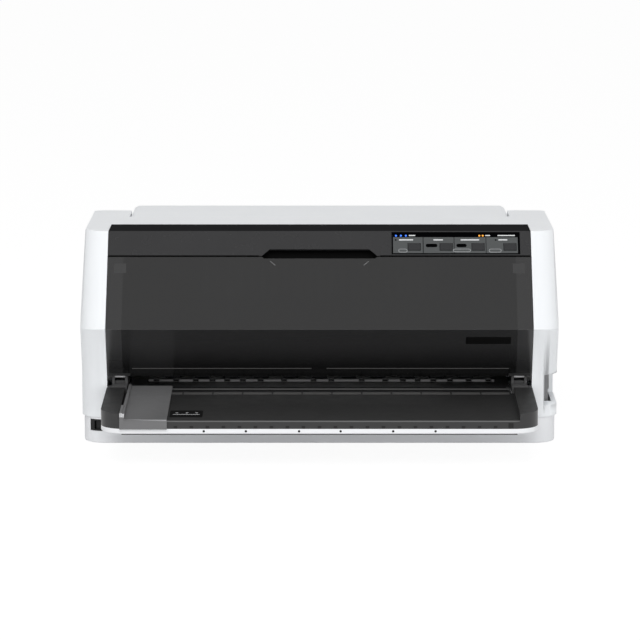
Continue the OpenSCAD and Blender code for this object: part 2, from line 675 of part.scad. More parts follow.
// Pulley with its own shaft, which turns in the bracket below
module pulley(x, shaft) color([0.78, 0.79, 0.8]) translate([x, belt_y, 0]) {
    translate([0, 0, belt_z - 1.6]) cylinder(r = pulley_r + 2.6, h = 1.2);
    translate([0, 0, belt_z - 0.5]) cylinder(r = pulley_r, h = belt_h + 1);
    translate([0, 0, belt_z + belt_h + 0.4]) cylinder(r = pulley_r + 2.6, h = 1.2);
    translate([0, 0, belt_z - shaft]) cylinder(r = 1.5, h = shaft);
}

module carriage_motor() color([0.2, 0.2, 0.21]) translate([pulley_x, belt_y, 0])
    difference() {
        union() {
            translate([0, 0, path_h + 8]) cylinder(r = 15, h = belt_z - 4 - path_h - 8);
            translate([0, 0, belt_z - 5]) cylinder(r = 3.6, h = 2.2);
        }
        translate([0, 0, belt_z - 12]) cylinder(r = 1.5 + fit, h = 20);
    }

module feed_motor() color([0.25, 0.25, 0.26])
    difference() {
        union() {
            slab([-frame_x + 0.1, -frame_x + 20], [idler_y - motor_w / 2, idler_y + motor_w / 2],
                [pinion_z - motor_w / 2, pinion_z + motor_w / 2]);
            rod_x(5.8, [-frame_x - frame_t + 0.2, -frame_x + 1], idler_y, pinion_z);
        }
        rod_x(1.5 + fit, [-frame_x - 5, -frame_x + 10], idler_y, pinion_z);
    }

// Phases that keep the feed train in mesh
to_front = atan2(roller_z - idler_z, front_roller_y - idler_y);
to_rear = atan2(roller_z - idler_z, rear_roller_y - idler_y);
front_phase = meshing(to_front, gear_teeth, 0, gear_teeth);
rear_phase = meshing(to_rear, gear_teeth, 0, gear_teeth);
pinion_phase = meshing(-90, gear_teeth, 0, pinion_teeth);
idler2_phase = meshing(0, gear_teeth, rear_phase, gear_teeth);
tractor_phase = meshing(0, gear_teeth, idler2_phase, gear_teeth);
train_x = [-gear_x0 - gear_w, -gear_x0];

module motor_pinion() color([0.8, 0.68, 0.35]) {
    gear(pinion_teeth, pinion_phase, train_x, idler_y, pinion_z, 1);
    rod_x(1.5, [-gear_x0 - gear_w, -frame_x + 8], idler_y, pinion_z);
}

module idler_gear() color([0.9, 0.9, 0.88]) gear(gear_teeth, 0, train_x, idler_y, idler_z, 2.5 + fit);

module front_roller_gear() color([0.9, 0.9, 0.88])
    gear(gear_teeth, front_phase, train_x, front_roller_y, roller_z, axle_r);

module rear_roller_gear() color([0.9, 0.9, 0.88])
    gear(gear_teeth, rear_phase, train_x, rear_roller_y, roller_z, axle_r);

module rear_idler_gear() color([0.9, 0.9, 0.88])
    gear(gear_teeth, idler2_phase, train_x, idler2_y, roller_z, 2.5 + fit);

// ---------- ribbon ----------

cart_x = frame_x - 13;
arm_x = cart_x - 8;
cart_y = [front_y + 10, front_y + 52 * deep];
cart_z = [path_h + 41, path_h + 57];
knob_at = [-150 * wide, front_y + 32 * deep];

module ribbon_cartridge() color([0.09, 0.09, 0.1]) {
    difference() {
        slab([-cart_x, cart_x], cart_y, cart_z);
        translate([knob_at[0], knob_at[1], cart_z[1] - 8]) cylinder(r = 3 + fit, h = 20);
    }
    both_sides() {
        outline_x([[cart_y[1] - 8, cart_z[0]], [head_y - 12, cart_z[0]], [head_y - 12, path_h + 1.4],
            [head_y + 12, path_h + 1.4], [head_y + 12, cart_z[1]], [cart_y[1] - 8, cart_z[1]]], [arm_x, cart_x]);
        rod_x(3, [cart_x - 1, frame_x - gap], cart_y[1] - 2, cart_z[0] + 8);
    }
}

module ribbon_knob() color([0.25, 0.25, 0.27]) translate([knob_at[0], knob_at[1], 0]) {
    difference() {
        translate([0, 0, cart_z[1] + gap]) cylinder(r = 9, h = 6);
        for (a = [0 : 30 : 330]) rotate(a) translate([9.6, 0, cart_z[1]]) cylinder(r = 1.2, h = 10);
    }
    translate([0, 0, cart_z[1] - 7.5]) cylinder(r = 3, h = 9);
}

module ribbon() color([0.03, 0.03, 0.03])
    slab([-arm_x + 0.05, arm_x - 0.05], [head_y - 6.5, head_y + 6.5], [path_h + 1.8, path_h + 2.1]);

// ---------- tractors ----------

tractor_hw = 9;
door_z = path_h + 3.2;
door_pin_r = 1;

module tractor_shaft() {
    color([0.75, 0.76, 0.78]) rod_x(3, [-gear_x0 - 1, frame_x + frame_t + 3], tractor_y, roller_z);
    color([0.9, 0.9, 0.88]) gear(gear_teeth, tractor_phase, train_x, tractor_y, roller_z, 2);
}

module tractor_rod() color([0.75, 0.76, 0.78]) rod_x(3, [-frame_x - frame_t - 0.2, frame_x + 5], rod_y, roller_z);

// Right-hand tractor, with its door pins on the outer side
module tractor(side) color([0.3, 0.3, 0.32]) translate([side * tractor_at, 0, 0]) mirror([side < 0 ? 1 : 0, 0, 0]) {
    y0 = tractor_y - 14;
    y1 = rod_y + 6;
    difference() {
        union() {
            slab([-tractor_hw, tractor_hw], [y0, y1], [roller_z - 6, path_h - 1]);
            slab([-3, 3], [y0 + 2, y1 - 2], [path_h - 2, path_h + 0.2]);
        }
        rod_x(3 + fit, [-20, 20], tractor_y, roller_z);
        rod_x(3 + fit, [-20, 20], rod_y, roller_z);
    }
    for (k = [0 : 2]) translate([0, y0 + 5.3 + k * 12.7 * deep, path_h]) cylinder(r1 = 1.9, r2 = 1.4, h = 1.6);
    // Ears and the pins that the door turns on
    for (y = [y0, y1 - 3]) slab([tractor_hw - 1, tractor_hw + 4], [y, y + 3], [path_h - 6, door_z + 2]);
    rod_y(door_pin_r, tractor_hw + 2, [y0 + 1, y0 + 9], door_z);
    rod_y(door_pin_r, tractor_hw + 2, [y1 - 9, y1 - 1], door_z);
}

module tractor_door(side) color([0.36, 0.36, 0.38]) translate([side * tractor_at, 0, 0]) mirror([side < 0 ? 1 : 0, 0, 0]) {
    y0 = tractor_y - 14 + 3 + gap;
    y1 = rod_y + 6 - 3 - gap;
    difference() {
        union() {
            slab([-tractor_hw, tractor_hw + 2], [y0, y1], [door_z - 1, door_z + 1.2]);
            rod_y(2, tractor_hw + 2, [y0, y1], door_z);
        }
        rod_y(door_pin_r + fit, tractor_hw + 2, [y0 - 1, y1 + 1], door_z);
        slab([-3, 3], [y0 + 4, y1 - 4], [0, far]);
    }
}

// ---------- tray ----------

module tray_outline(inset)
    linear_extrude(far) mirror([0, 1]) round_end(tray_hw - inset, -front_y + 3, -tray_y - inset, tray_r - inset);

module sheet_tray() color([0.17, 0.17, 0.18]) {
    shoulder = [[tray_y, tray_front_h + 7], [tray_back, surface_h(tray_back) + 6]];
    difference() {
        intersection() {
            tray_outline(0);
            outline_x([[tray_y, tray_low_h], [tray_back, tray_low_h], shoulder[1], shoulder[0]], [-tray_hw, tray_hw]);
        }
        // Channel for the sheets, with a bevel along its front edge
        outline_x([[tray_y - 1, surface_h(tray_y) - 1.6], [tray_y + 1.4, surface_h(tray_y + 1.4)],
            [tray_back + 1, surface_h(tray_back + 1)], [tray_back + 1, far], [tray_y - 1, far]], [-tray_in, tray_in]);
        // Hollow underneath, first below the sheet surface and then in the shoulders
        intersection() {
            tray_outline(wall);
            outline_x([[tray_y, 0], [tray_back - wall, 0], [tray_back - wall, surface_h(tray_back) - wall],
                [tray_y, tray_front_h - wall]], [-tray_in - wall, tray_in + wall]);
        }
        both_sides() intersection() {
            tray_outline(wall);
            outline_x([[tray_y, 0], [tray_back - wall, 0], shoulder[1] - [wall, wall], shoulder[0] - [0, wall]],
                [tray_in + wall, tray_hw]);
        }
    }
    // Bridge to the paper slot and the hooks that hold the tray
    outline_x([[tray_back - 1, surface_h(tray_back) - 6], [front_y - 3, surface_h(front_y - 3) - 6],
        [front_y - 3, surface_h(front_y - 3)], [tray_back - 1, surface_h(tray_back - 1)]], [-path_hw, path_hw]);
    for (x = tray_hook_x) {
        slab([x - 10, x + 10], [tray_back - 2, front_y + 8], tray_hook_z);
        slab([x - 10, x + 10], [tray_back - 2, front_y - 6], [tray_hook_z[0], path_h - 4]);
    }
}

module tray_lip() color([0.92, 0.92, 0.93])
    translate([0, 0, tray_low_h - lip_t]) difference() {
        linear_extrude(lip_t) mirror([0, 1]) round_end(tray_hw, -tray_back, -tray_y, tray_r);
        translate([0, 0, 2]) linear_extrude(lip_t) mirror([0, 1])
            round_end(tray_hw - wall, -tray_back + wall, -tray_y - wall, tray_r - wall);
    }

guide_x = [-tray_in + 2.5, -tray_in + 2.5 + guide_w];

module edge_guide() color([0.36, 0.36, 0.375]) {
    y0 = tray_y - gap;
    y1 = front_y + 7;
    lift = 0.5;
    outline_x([[y0, surface_h(y0) + lift], [y1, surface_h(y1) + lift], [y1, surface_h(y1) + lift + guide_t],
        [y0, surface_h(y0) + lift + guide_t]], guide_x);
    // Plate over the tray's front, and the fence with its wider tab
    slab(guide_x, [y0 - guide_front_t, y0], [tray_low_h - 0.2, surface_h(y0) + lift + guide_t - 0.8]);
    outline_x([[y0 - guide_front_t, surface_h(y0)], [y1, surface_h(y1) + lift], [y1, surface_h(y1) + lift + guide_t + 1.5],
        [y0 + 60, surface_h(y0 + 60) + 6.5], [y0 - guide_front_t + 3, surface_h(y0) + 7], [y0 - guide_front_t, surface_h(y0) + 4]],
        [guide_x[0], guide_x[0] + 2.6]);
    outline_x([[y0 - guide_front_t, tray_low_h - 0.2], [y0, tray_low_h - 0.2], [y0, surface_h(y0) + lift],
        [y0 + 34, surface_h(y0 + 34) + lift], [y0 + 34, surface_h(y0 + 34) + 7.5], [y0 + 2, surface_h(y0) + 7.5],
        [y0 - guide_front_t, surface_h(y0) + 4]], [guide_x[0] - 2, guide_x[0] + 0.5]);
}

// ---------- switch, lever, rear guide ----------

rocker_x = switch_x[0] + 15;
rocker_y = front_y + 7;
rocker_tilt = 7;

module switch_housing() color([0.1, 0.1, 0.11])
    difference() {
        intersection() {
            slab([switch_x[0] + gap, switch_x[1] - gap], [front_y, front_y + 16], [switch_z[0] + gap, switch_z[1] - gap]);
            linear_extrude(seam_h) plan(base_hw - 0.4, front_y + 0.4, back_y, front_r - 0.4, back_r);
        }
        slab([rocker_x - 10.8, switch_x[1] - 1.5], [front_y - 1, front_y + 13], [switch_z[0] + 1.6, switch_z[1] - 1.6]);
        translate([rocker_x, rocker_y, switch_z[0] + 0.8]) cylinder(r = 1.2 + fit, h = switch_z[1] - switch_z[0] - 1.6);
    }

module power_rocker() color([0.14, 0.14, 0.15]) translate([rocker_x, rocker_y, 0]) rotate(-rocker_tilt) {
    translate([0, 0, switch_z[0] + 2]) linear_extrude(switch_z[1] - switch_z[0] - 4)
        polygon([[-8.4, -4.4], [0, -3.2], [8.4, -4.4], [8, -1], [4, 3.4], [-4, 3.4], [-8, -1]]);
    translate([0, 0, switch_z[0] + 1]) cylinder(r = 1.2, h = switch_z[1] - switch_z[0] - 2);
}

lever_hw = 2;

module release_lever() color([0.5, 0.51, 0.53])
    difference() {
        union() {
            rod_x(6, [lever_x - lever_hw, lever_x + lever_hw], lever_y, lever_z);
            outline_x([[lever_y - 4, lever_z + 3], [lever_y + 5, lever_z], [lever_y + 26, 57], [lever_y + 24, 60],
                [lever_y + 19, 58]], [lever_x - lever_hw, lever_x + lever_hw]);
            outline_x([[lever_y + 16, 47], [lever_y + 22, 44], [lever_y + 28, 57], [lever_y + 25, 61.5],
                [lever_y + 19, 60]], [lever_x - 3.6, lever_x + 3.6]);
        }
        rod_x(lever_pin_r + fit, [lever_x - 9, lever_x + 9], lever_y, lever_z);
    }

module rear_guide() color([0.9, 0.91, 0.92]) {
    intersection() {
        slab([-rear_w, rear_w], [lid_y + 0.5, end_y], [case_h - lid_t, case_h]);
        translate([0, far, 0]) rotate([90, 0, 0]) linear_extrude(2 * far)
            polygon([[-rear_w, 0], [rear_w, 0], [rear_w, case_h - 2.5], [rear_w - 4.5, case_h],
                [-rear_w + 4.5, case_h], [-rear_w, case_h - 2.5]]);
    }
    slab([-rear_w + 3, rear_w - 3], [end_y - wall, end_y], [case_h - 12, case_h - 1]);
    // Ribs that rest on the bed
    for (x = [-150, -90, -30, 30, 90, 150] * wide)
        slab([x - 1.2, x + 1.2], [lid_y + 12, end_y - 1], [case_h - lid_drop + gap, case_h - lid_t + 1]);
    both_sides() rod_x(lid_pin_r, [rear_w - 3, rear_w + 3.4], lid_pin_y, lid_pin_z);
}

screw_at = [for (x = [-half_w + 25, half_w - 25], z = [64, 190]) [x, z]];

module casing_screws() color([0.6, 0.61, 0.63])
    for (p = screw_at) translate([p[0], back_y, p[1]]) rotate([-90, 0, 0]) difference() {
        cylinder(r = 3.4, h = 1.4);
        for (a = [0, 90]) rotate(a) translate([-2.2, -0.4, 0.7]) cube([4.4, 0.8, 2]);
    }

// ---------- electronics ----------

board_y = back_y - 75.4;

module power_supply() {
    color([0.62, 0.5, 0.25]) slab([-158 * wide, -36 * wide], [board_y, back_y - 12], [frame_low + 3, frame_low + 4.6]);
    color([0.7, 0.7, 0.7]) for (x = [-154 * wide, -40 * wide], y = [board_y + 3, back_y - 15])
        translate([x, y, frame_low]) cylinder(r = 2.5, h = 3.4);
    color([0.2, 0.2, 0.21]) slab([-120 * wide, -90 * wide], [board_y + 12, board_y + 40], [frame_low + 4.6, frame_low + 24]);
    color([0.75, 0.76, 0.78]) slab([-150 * wide, -130 * wide], [board_y + 5, back_y - 20], [frame_low + 4.6, frame_low + 22]);
    color([0.15, 0.2, 0.4]) for (x = [-76, -60] * wide) translate([x, board_y + 20, frame_low + 4]) cylinder(r = 7 * wide, h = 19);
}

module main_board() {
    color([0.1, 0.38, 0.2]) slab([-10 * wide, 165 * wide], [board_y, back_y - 8], [frame_low + 3, frame_low + 4.6]);
    color([0.7, 0.7, 0.7]) for (x = [-5 * wide, 160 * wide], y = [board_y + 3, back_y - 14])
        translate([x, y, frame_low]) cylinder(r = 2.5, h = 3.4);
    color([0.1, 0.1, 0.1]) for (x = [10, 50] * wide) slab([x, x + 22], [board_y + 8, board_y + 30], [frame_low + 4.6, frame_low + 7]);
    color([0.75, 0.76, 0.78]) for (y = [0 : 4]) slab([90 * wide, 140 * wide], [board_y + 5 + y * 5, board_y + 7 + y * 5], [frame_low + 4.6, frame_low + 17]);
}

// Connectors of the interface plate
port_spans = [[ports_x[0] + 8, ports_x[0] + 60 * wide], [ports_x[1] - 8 - 12 * wide, ports_x[1] - 8]];
port_z = [ports_z[0] + 1.5, ports_z[1] - 1.5];

module rear_sockets() {
    color([0.08, 0.08, 0.09]) difference() {
        slab([socket_x[0] + gap, socket_x[1] - gap], [back_y - 20, back_y - 0.4], [socket_z[0] + gap, socket_z[1] - gap]);
        slab([socket_x[0] + 3, socket_x[1] - 3], [back_y - 16, back_y + 1], [socket_z[0] + 3, socket_z[1] - 3]);
    }
    pin_mid = [(socket_x[0] + socket_x[1]) / 2, (socket_z[0] + socket_z[1]) / 2];
    color([0.8, 0.8, 0.8]) for (z = [-7, 0, 7])
        slab([pin_mid[0] - 2 + abs(z) / 7 * 2, pin_mid[0] + 2 + abs(z) / 7 * 2], [back_y - 17, back_y - 6],
            [pin_mid[1] + z - 1, pin_mid[1] + z + 1]);
    color([0.74, 0.75, 0.77]) difference() {
        slab([ports_x[0] + gap, ports_x[1] - gap], [back_y - 2.2, back_y - 0.8], [ports_z[0] + gap, ports_z[1] - gap]);
        for (x = port_spans) slab(x, [back_y - 9, far], port_z);
    }
    color([0.1, 0.1, 0.11]) for (x = port_spans) difference() {
        slab(x, [back_y - 16, back_y - 0.2], port_z);
        slab([x[0] + 1, x[1] - 1], [back_y - 12, far], [port_z[0] + 1, port_z[1] - 1]);
    }
}

base_pan();
rubber_feet();
upper_casing();
control_fascia();
key_panel();
key(0);  // key_1
key(1);  // key_2
key(2);  // key_3
key(3);  // key_4
indicator_lamps();
panel_board();
front_cover();
cover_bumpers();
hinge_pins();
hinge_blocks();
lower_guide();
notched_bar();
sheet_tray();
tray_lip();
edge_guide();
switch_housing();
power_rocker();
release_lever();
rear_guide();
casing_screws();
chassis_plate();
left_frame();
right_frame();
guide_shaft();
support_rail();
carriage();
print_head();
drive_belt();
pulley(pulley_x, 11);  // motor_pulley
pulley(-pulley_x, 6);  // idler_pulley
carriage_motor();
cross_beam();
platen_bar();
feed_roller(front_roller_y);  // front_feed_roller
feed_roller(rear_roller_y);  // rear_feed_roller
pinch_roller(front_roller_y);  // front_pinch_roller
pinch_roller(rear_roller_y);  // rear_pinch_roller
feed_motor();
motor_pinion();
idler_gear();
front_roller_gear();
rear_roller_gear();
rear_idler_gear();
tractor_shaft();
tractor_rod();
tractor(-1);  // left_tractor
tractor(1);  // right_tractor
tractor_door(-1);  // left_tractor_door
tractor_door(1);  // right_tractor_door
ribbon_cartridge();
ribbon_knob();
ribbon();
power_supply();
main_board();
rear_sockets();
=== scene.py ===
"""Flatbed dot matrix printer with a smoke cover and a sheet tray: finishes, detailed pieces, stage and camera."""

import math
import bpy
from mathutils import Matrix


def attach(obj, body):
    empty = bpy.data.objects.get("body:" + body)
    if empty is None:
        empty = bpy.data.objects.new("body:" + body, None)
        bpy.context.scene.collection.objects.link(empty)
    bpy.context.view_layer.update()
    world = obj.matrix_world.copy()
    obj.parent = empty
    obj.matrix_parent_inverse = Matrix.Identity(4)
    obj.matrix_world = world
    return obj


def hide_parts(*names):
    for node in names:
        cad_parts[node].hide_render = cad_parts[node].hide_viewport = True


bl_info = {
    "name": "Dot matrix printer",
    "version": (1, 0, 0),
    "blender": (4, 5, 0),
    "location": "3D View > Sidebar > Printer",
    "description": "Builds the finishes, the detailed pieces and the stage of a flatbed dot matrix printer",
    "category": "Object",
}

import bmesh
import bpy
from mathutils import Matrix, Vector

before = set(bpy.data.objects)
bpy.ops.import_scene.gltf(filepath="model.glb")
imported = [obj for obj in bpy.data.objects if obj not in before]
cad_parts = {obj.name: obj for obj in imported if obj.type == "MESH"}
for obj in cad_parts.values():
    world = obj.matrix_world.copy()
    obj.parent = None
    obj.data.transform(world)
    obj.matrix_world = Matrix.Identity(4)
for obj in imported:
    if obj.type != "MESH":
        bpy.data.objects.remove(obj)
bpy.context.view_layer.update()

MM = 0.001

# Places taken from the construction, in millimetres
TRAY_Y = -183.0
FRONT_Y = -57.0
CREASE = (-78.6, 120.3)
TOP_EDGE = (-12.5, 210.0)
KNEE_H = 69.3
OPEN_X = 213.5
SLOPE_A = math.atan2(TOP_EDGE[1] - CREASE[1], TOP_EDGE[0] - CREASE[0])
KNEE_A = math.atan2(CREASE[1] - KNEE_H, CREASE[0] - FRONT_Y)
# x across, y up the face, z out of it
ON_SLOPE = Matrix.Translation((0, *TOP_EDGE)) @ Matrix.Rotation(SLOPE_A, 4, "X")
ON_LOWER = Matrix.Translation((0, *CREASE)) @ Matrix.Rotation(KNEE_A, 4, "X")

# Height of the tray's sheet surface at its front, and its rise towards the back
SHEET_Z = 48.0
SHEET_RISE = 0.05447

# Notches of the bar behind the tray, along X
BAR_NOTCHES = (-166, -146, -126, -109, -94, -78, -60, -36, -6, 12, 43, 67, 85, 100, 116, 133, 152, 172)


def sheet_height(y):
    """Height of the tray's sheet surface at y."""
    return SHEET_Z + (y - TRAY_Y) * SHEET_RISE


# ---------- sizes and colours ----------


def length(name, description, default):
    return bpy.props.FloatProperty(
        name=name,
        description=description,
        default=default * MM,
        min=0.0,
        unit="LENGTH",
        subtype="DISTANCE",
        precision=4,
    )


def colour(name, description, default):
    return bpy.props.FloatVectorProperty(
        name=name,
        description=description,
        default=default,
        size=3,
        min=0.0,
        max=1.0,
        subtype="COLOR",
    )


class PrinterSizes(bpy.types.PropertyGroup):
    """Sizes that a user may want to change."""

    edge_round: length("Edge rounding", "Rounding of the mouldings' outer edges", 0.8)
    crease_round: length("Crease rounding", "Rounding of the crease across the front", 0.5)
    tray_round: length("Tray rounding", "Rounding of the tray's edges", 0.8)
    tooth_pitch: length("Tooth pitch", "Distance of the small teeth under the tray's front", 15.5)
    label_width: length("Label width", "Width of the matt label on the cover", 45.0)
    mark_height: length("Mark height", "Height of the printed marks above their surface", 0.12)
    camera_distance: length("Camera distance", "Distance of the camera in front of the origin", 3317.7)
    camera_height: length("Camera height", "Height of the camera above the floor", 669.5)
    camera_tilt: bpy.props.FloatProperty(
        name="Camera tilt",
        description="Tilt of the camera below the horizon",
        default=math.radians(9.46),
        subtype="ANGLE",
    )


class PrinterColours(bpy.types.PropertyGroup):
    """Colours of the finishes."""

    casing: colour("Casing", "Off-white casing", (0.82, 0.84, 0.86))
    base: colour("Base", "Light grey base", (0.78, 0.79, 0.81))
    fascia: colour("Fascia", "Charcoal fascia", (0.020, 0.020, 0.021))
    fascia_top: colour("Fascia top", "Matt strip of the fascia on the top", (0.020, 0.020, 0.021))
    cover: colour("Cover", "Smoke tint of the cover", (0.008, 0.008, 0.0082))
    tray: colour("Tray", "Black tray", (0.017, 0.017, 0.017))
    guide: colour("Guide", "Grey of the sliding edge guide", (0.15, 0.15, 0.153))
    lip: colour("Lip", "Off-white lip under the tray", (0.80, 0.81, 0.83))
    panel: colour("Panel field", "Grey fields of the key panel", (0.058, 0.062, 0.063))
    blue: colour("Blue lamp", "Lit blue lamps", (0.03, 0.16, 0.9))
    amber: colour("Amber lamp", "Amber lamps", (0.85, 0.32, 0.02))


# ---------- materials ----------


class Value:
    """A socket in a node tree that takes part in Python arithmetic."""

    def __init__(self, finish, socket):
        self.finish = finish
        self.socket = socket

    def _math(self, operation, first, second):
        return self.finish.node("ShaderNodeMath", {"operation": operation}, {0: first, 1: second})

    def __add__(self, other):
        return self._math("ADD", self, other)

    __radd__ = __add__

    def __mul__(self, other):
        return self._math("MULTIPLY", self, other)

    __rmul__ = __mul__

    def __sub__(self, other):
        return self._math("SUBTRACT", self, other)

    def __rsub__(self, other):
        return self._math("SUBTRACT", other, self)

    def __gt__(self, other):
        return self._math("GREATER_THAN", self, other)

    def __lt__(self, other):
        return self._math("LESS_THAN", self, other)


class Finish:
    """One material and the calls that build its nodes."""

    def __init__(self, name):
        self.material = bpy.data.materials.new(name)
        self.material.use_nodes = True
        self.tree = self.material.node_tree
        self.tree.nodes.clear()
        self.place = self.node("ShaderNodeTexCoord", output="Object")

    def node(self, kind, settings=None, inputs=None, output=0):
        made = self.tree.nodes.new(kind)
        for key, value in (settings or {}).items():
            if key == "stops":
                ramp = made.color_ramp
                while len(ramp.elements) < len(value):
                    ramp.elements.new(0.5)
                for element, (position, tone) in zip(ramp.elements, value):
                    element.position = position
                    element.color = (*tone, 1.0) if isinstance(tone, tuple) else (tone, tone, tone, 1.0)
            else:
                setattr(made, key, value)
        for key, value in (inputs or {}).items():
            if isinstance(value, Value):
                self.tree.links.new(value.socket, made.inputs[key])
            elif isinstance(value, tuple) and len(value) == 3 and made.inputs[key].type == "RGBA":
                made.inputs[key].default_value = (*value, 1.0)
            else:
                made.inputs[key].default_value = value
        return Value(self, made.outputs[output])

    def noise(self, scale, detail=2.0, roughness=0.5, stretch=None):
        """Noise in the piece's own coordinates; scale is cells per metre."""
        place = self.place
        if stretch:
            place = self.node("ShaderNodeMapping", None, {"Vector": place, "Scale": stretch}, "Vector")
        return self.node(
            "ShaderNodeTexNoise",
            None,
            {"Vector": place, "Scale": scale, "Detail": detail, "Roughness": roughness},
            "Fac",
        )

    def tone(self, factor, dark, light):
        """A colour between two, by the factor."""
        return self.node("ShaderNodeMix", {"data_type": "RGBA"}, {0: factor, 6: dark, 7: light}, 2)

    def range(self, value, low, high, to_low, to_high):
        return self.node("ShaderNodeMapRange", None, {
            "Value": value,
            "From Min": low,
            "From Max": high,
            "To Min": to_low,
            "To Max": to_high,
        })

    def bump(self, height, strength, distance):
        return self.node(
            "ShaderNodeBump",
            None,
            {"Height": height, "Strength": strength, "Distance": distance},
            "Normal",
        )

    def principled(self, **inputs):
        named = {key.replace("_", " "): value for key, value in inputs.items()}
        return self.node("ShaderNodeBsdfPrincipled", None, named, "BSDF")

    def surface(self, shader):
        output = self.tree.nodes.new("ShaderNodeOutputMaterial")
        self.tree.links.new(shader.socket, output.inputs["Surface"])
        return self.material


def shade(base, amount):
    return tuple(max(0.0, min(1.0, c * amount)) for c in base)


def moulded(name, base, roughness=0.45, grain=900.0, depth=0.00003, spread=0.05, specular=0.5):
    """Injection-moulded plastic: fine grain, faint flow marks and an uneven sheen."""
    made = Finish(name)
    base = tuple(base)
    cloud = made.noise(14.0, 3.0)
    fine = made.noise(grain, 2.0, 0.6)
    tint = made.tone(made.range(cloud, 0.3, 0.7, 0.0, 1.0), shade(base, 1 - spread), shade(base, 1 + spread * 0.5))
    sheen = made.range(made.noise(55.0, 4.0), 0.25, 0.75, roughness - 0.05, roughness + 0.05)
    return made.surface(made.principled(
        Base_Color=tint,
        Roughness=sheen,
        Normal=made.bump(fine, 0.25, depth),
        Specular_IOR_Level=specular,
    ))


# Places on the cover in metres where its material paints light and shade, as it reads them
HAZE_Z = (0.079, 0.104)
FOOT_Z = 0.0722
FOOT_X = 0.19
RIM_X = 0.1975
PAD_X = (0.1945, 0.2065)
PAD_Z = (0.1712, 0.1800)


def smoke_tint(name, base, deep):
    """Nearly opaque smoke-tinted plastic with light and shade painted on by place: darker down its lower face,
    painted light rising towards the crease, pale bands over the casing's ledges and pads, darkest along its bottom
    edge.
    """
    made = Finish(name)
    cloud = made.noise(9.0, 3.0)
    sheen = made.range(made.noise(38.0, 4.0, stretch=(1.0, 0.5, 0.5)), 0.3, 0.75, 0.10, 0.17)
    apart = made.node("ShaderNodeSeparateXYZ", None, {"Vector": made.place}, "X")
    across, height = (Value(made, apart.socket.node.outputs[axis]) for axis in "XZ")
    out = made.node("ShaderNodeMath", {"operation": "ABSOLUTE"}, {0: across})
    # Painted light and shade by place: lower face darker, painted light rising to the crease, pale rims and pads,
    # dark bottom edge
    below = height < CREASE[1] * MM
    haze = made.range(height, *HAZE_Z, 0.0, 1.0) * below
    foot = height < FOOT_Z
    rim = out > RIM_X
    pad = (out > PAD_X[0]) * (out < PAD_X[1]) * (height > PAD_Z[0]) * (height < PAD_Z[1])
    tint = made.tone(cloud, shade(base, 0.9), shade(base, 1.15))
    tint = made.tone(below, tint, shade(base, 0.7))
    tint = made.tone(haze, tint, tuple(deep))
    tint = made.tone(rim, tint, made.tone(haze, shade(deep, 0.75), shade(deep, 1.7)))
    tint = made.tone(pad, tint, shade(deep, 1.1))
    tint = made.tone(foot, tint, made.tone(out > FOOT_X, shade(base, 0.3), shade(deep, 1.3)))
    ripple = made.bump(made.noise(26.0, 1.0), 0.06, 0.0002)
    return made.surface(made.principled(Base_Color=tint, Roughness=sheen, Alpha=0.97, Normal=ripple, IOR=1.49))


def metal(name, base, roughness=0.3, brushed=None, spangle=0.0):
    """Bare metal with brushing marks or zinc spangle."""
    made = Finish(name)
    base = tuple(base)
    marks = made.noise(300.0, 4.0, 0.6, brushed) if brushed else made.noise(160.0, 2.0)
    tint = made.tone(made.range(marks, 0.3, 0.7, 0.0, 1.0), shade(base, 0.86), base)
    if spangle:
        cells = made.node("ShaderNodeTexVoronoi", None, {"Vector": made.place, "Scale": 90.0}, "Color")
        tint = made.node(
            "ShaderNodeMix",
            {"data_type": "RGBA", "blend_type": "SOFT_LIGHT"},
            {0: spangle, 6: tint, 7: cells},
            2,
        )
    sheen = made.range(marks, 0.3, 0.7, roughness - 0.08, roughness + 0.08)
    relief = made.bump(marks, 0.12, 0.00005)
    return made.surface(made.principled(Base_Color=tint, Metallic=1.0, Roughness=sheen, Normal=relief))


def rubber(name, base):
    made = Finish(name)
    fine = made.noise(1400.0, 3.0, 0.7)
    bloom = made.range(made.noise(70.0, 4.0), 0.35, 0.75, 0.0, 1.0)
    tint = made.tone(bloom, tuple(base), shade(base, 1.7))
    return made.surface(made.principled(
        Base_Color=tint,
        Roughness=made.range(fine, 0.3, 0.7, 0.68, 0.9),
        Normal=made.bump(fine, 0.35, 0.00008),
        Specular_IOR_Level=0.35,
    ))


def circuit_board(name, base):
    """Solder mask with tracks and plated holes."""
    made = Finish(name)
    tracks = made.node(
        "ShaderNodeTexBrick",
        {"offset": 0.35, "squash": 0.7},
        {"Vector": made.place, "Scale": 160.0, "Mortar Size": 0.035, "Brick Width": 0.9, "Row Height": 0.3},
        "Fac",
    )
    spots = {"Vector": made.place, "Scale": 210.0, "Randomness": 0.25}
    holes = made.node("ShaderNodeTexVoronoi", None, spots, "Distance") < 0.16
    tint = made.tone(tracks, tuple(base), shade(base, 1.9))
    tint = made.tone(holes, tint, (0.55, 0.42, 0.2))
    return made.surface(made.principled(
        Base_Color=tint,
        Roughness=made.range(made.noise(90.0), 0.3, 0.7, 0.28, 0.42),
        Normal=made.bump(tracks, 0.3, 0.00008),
    ))


def lamp(name, base, glow):
    """Tinted clear light guide, lit from behind."""
    made = Finish(name)
    rings = made.noise(900.0, 1.0)
    tint = made.tone(rings, shade(base, 0.8), tuple(base))
    return made.surface(made.principled(
        Base_Color=tint,
        Roughness=made.range(rings, 0.3, 0.7, 0.15, 0.3),
        Emission_Color=tint,
        Emission_Strength=glow,
        Coat_Weight=0.4,
    ))


def printed(name, base):
    """Screen-printed ink, a little uneven."""
    made = Finish(name)
    fine = made.noise(2200.0, 2.0)
    return made.surface(made.principled(
        Base_Color=made.tone(fine, shade(base, 0.93), tuple(base)),
        Roughness=made.range(fine, 0.3, 0.7, 0.5, 0.62),
    ))


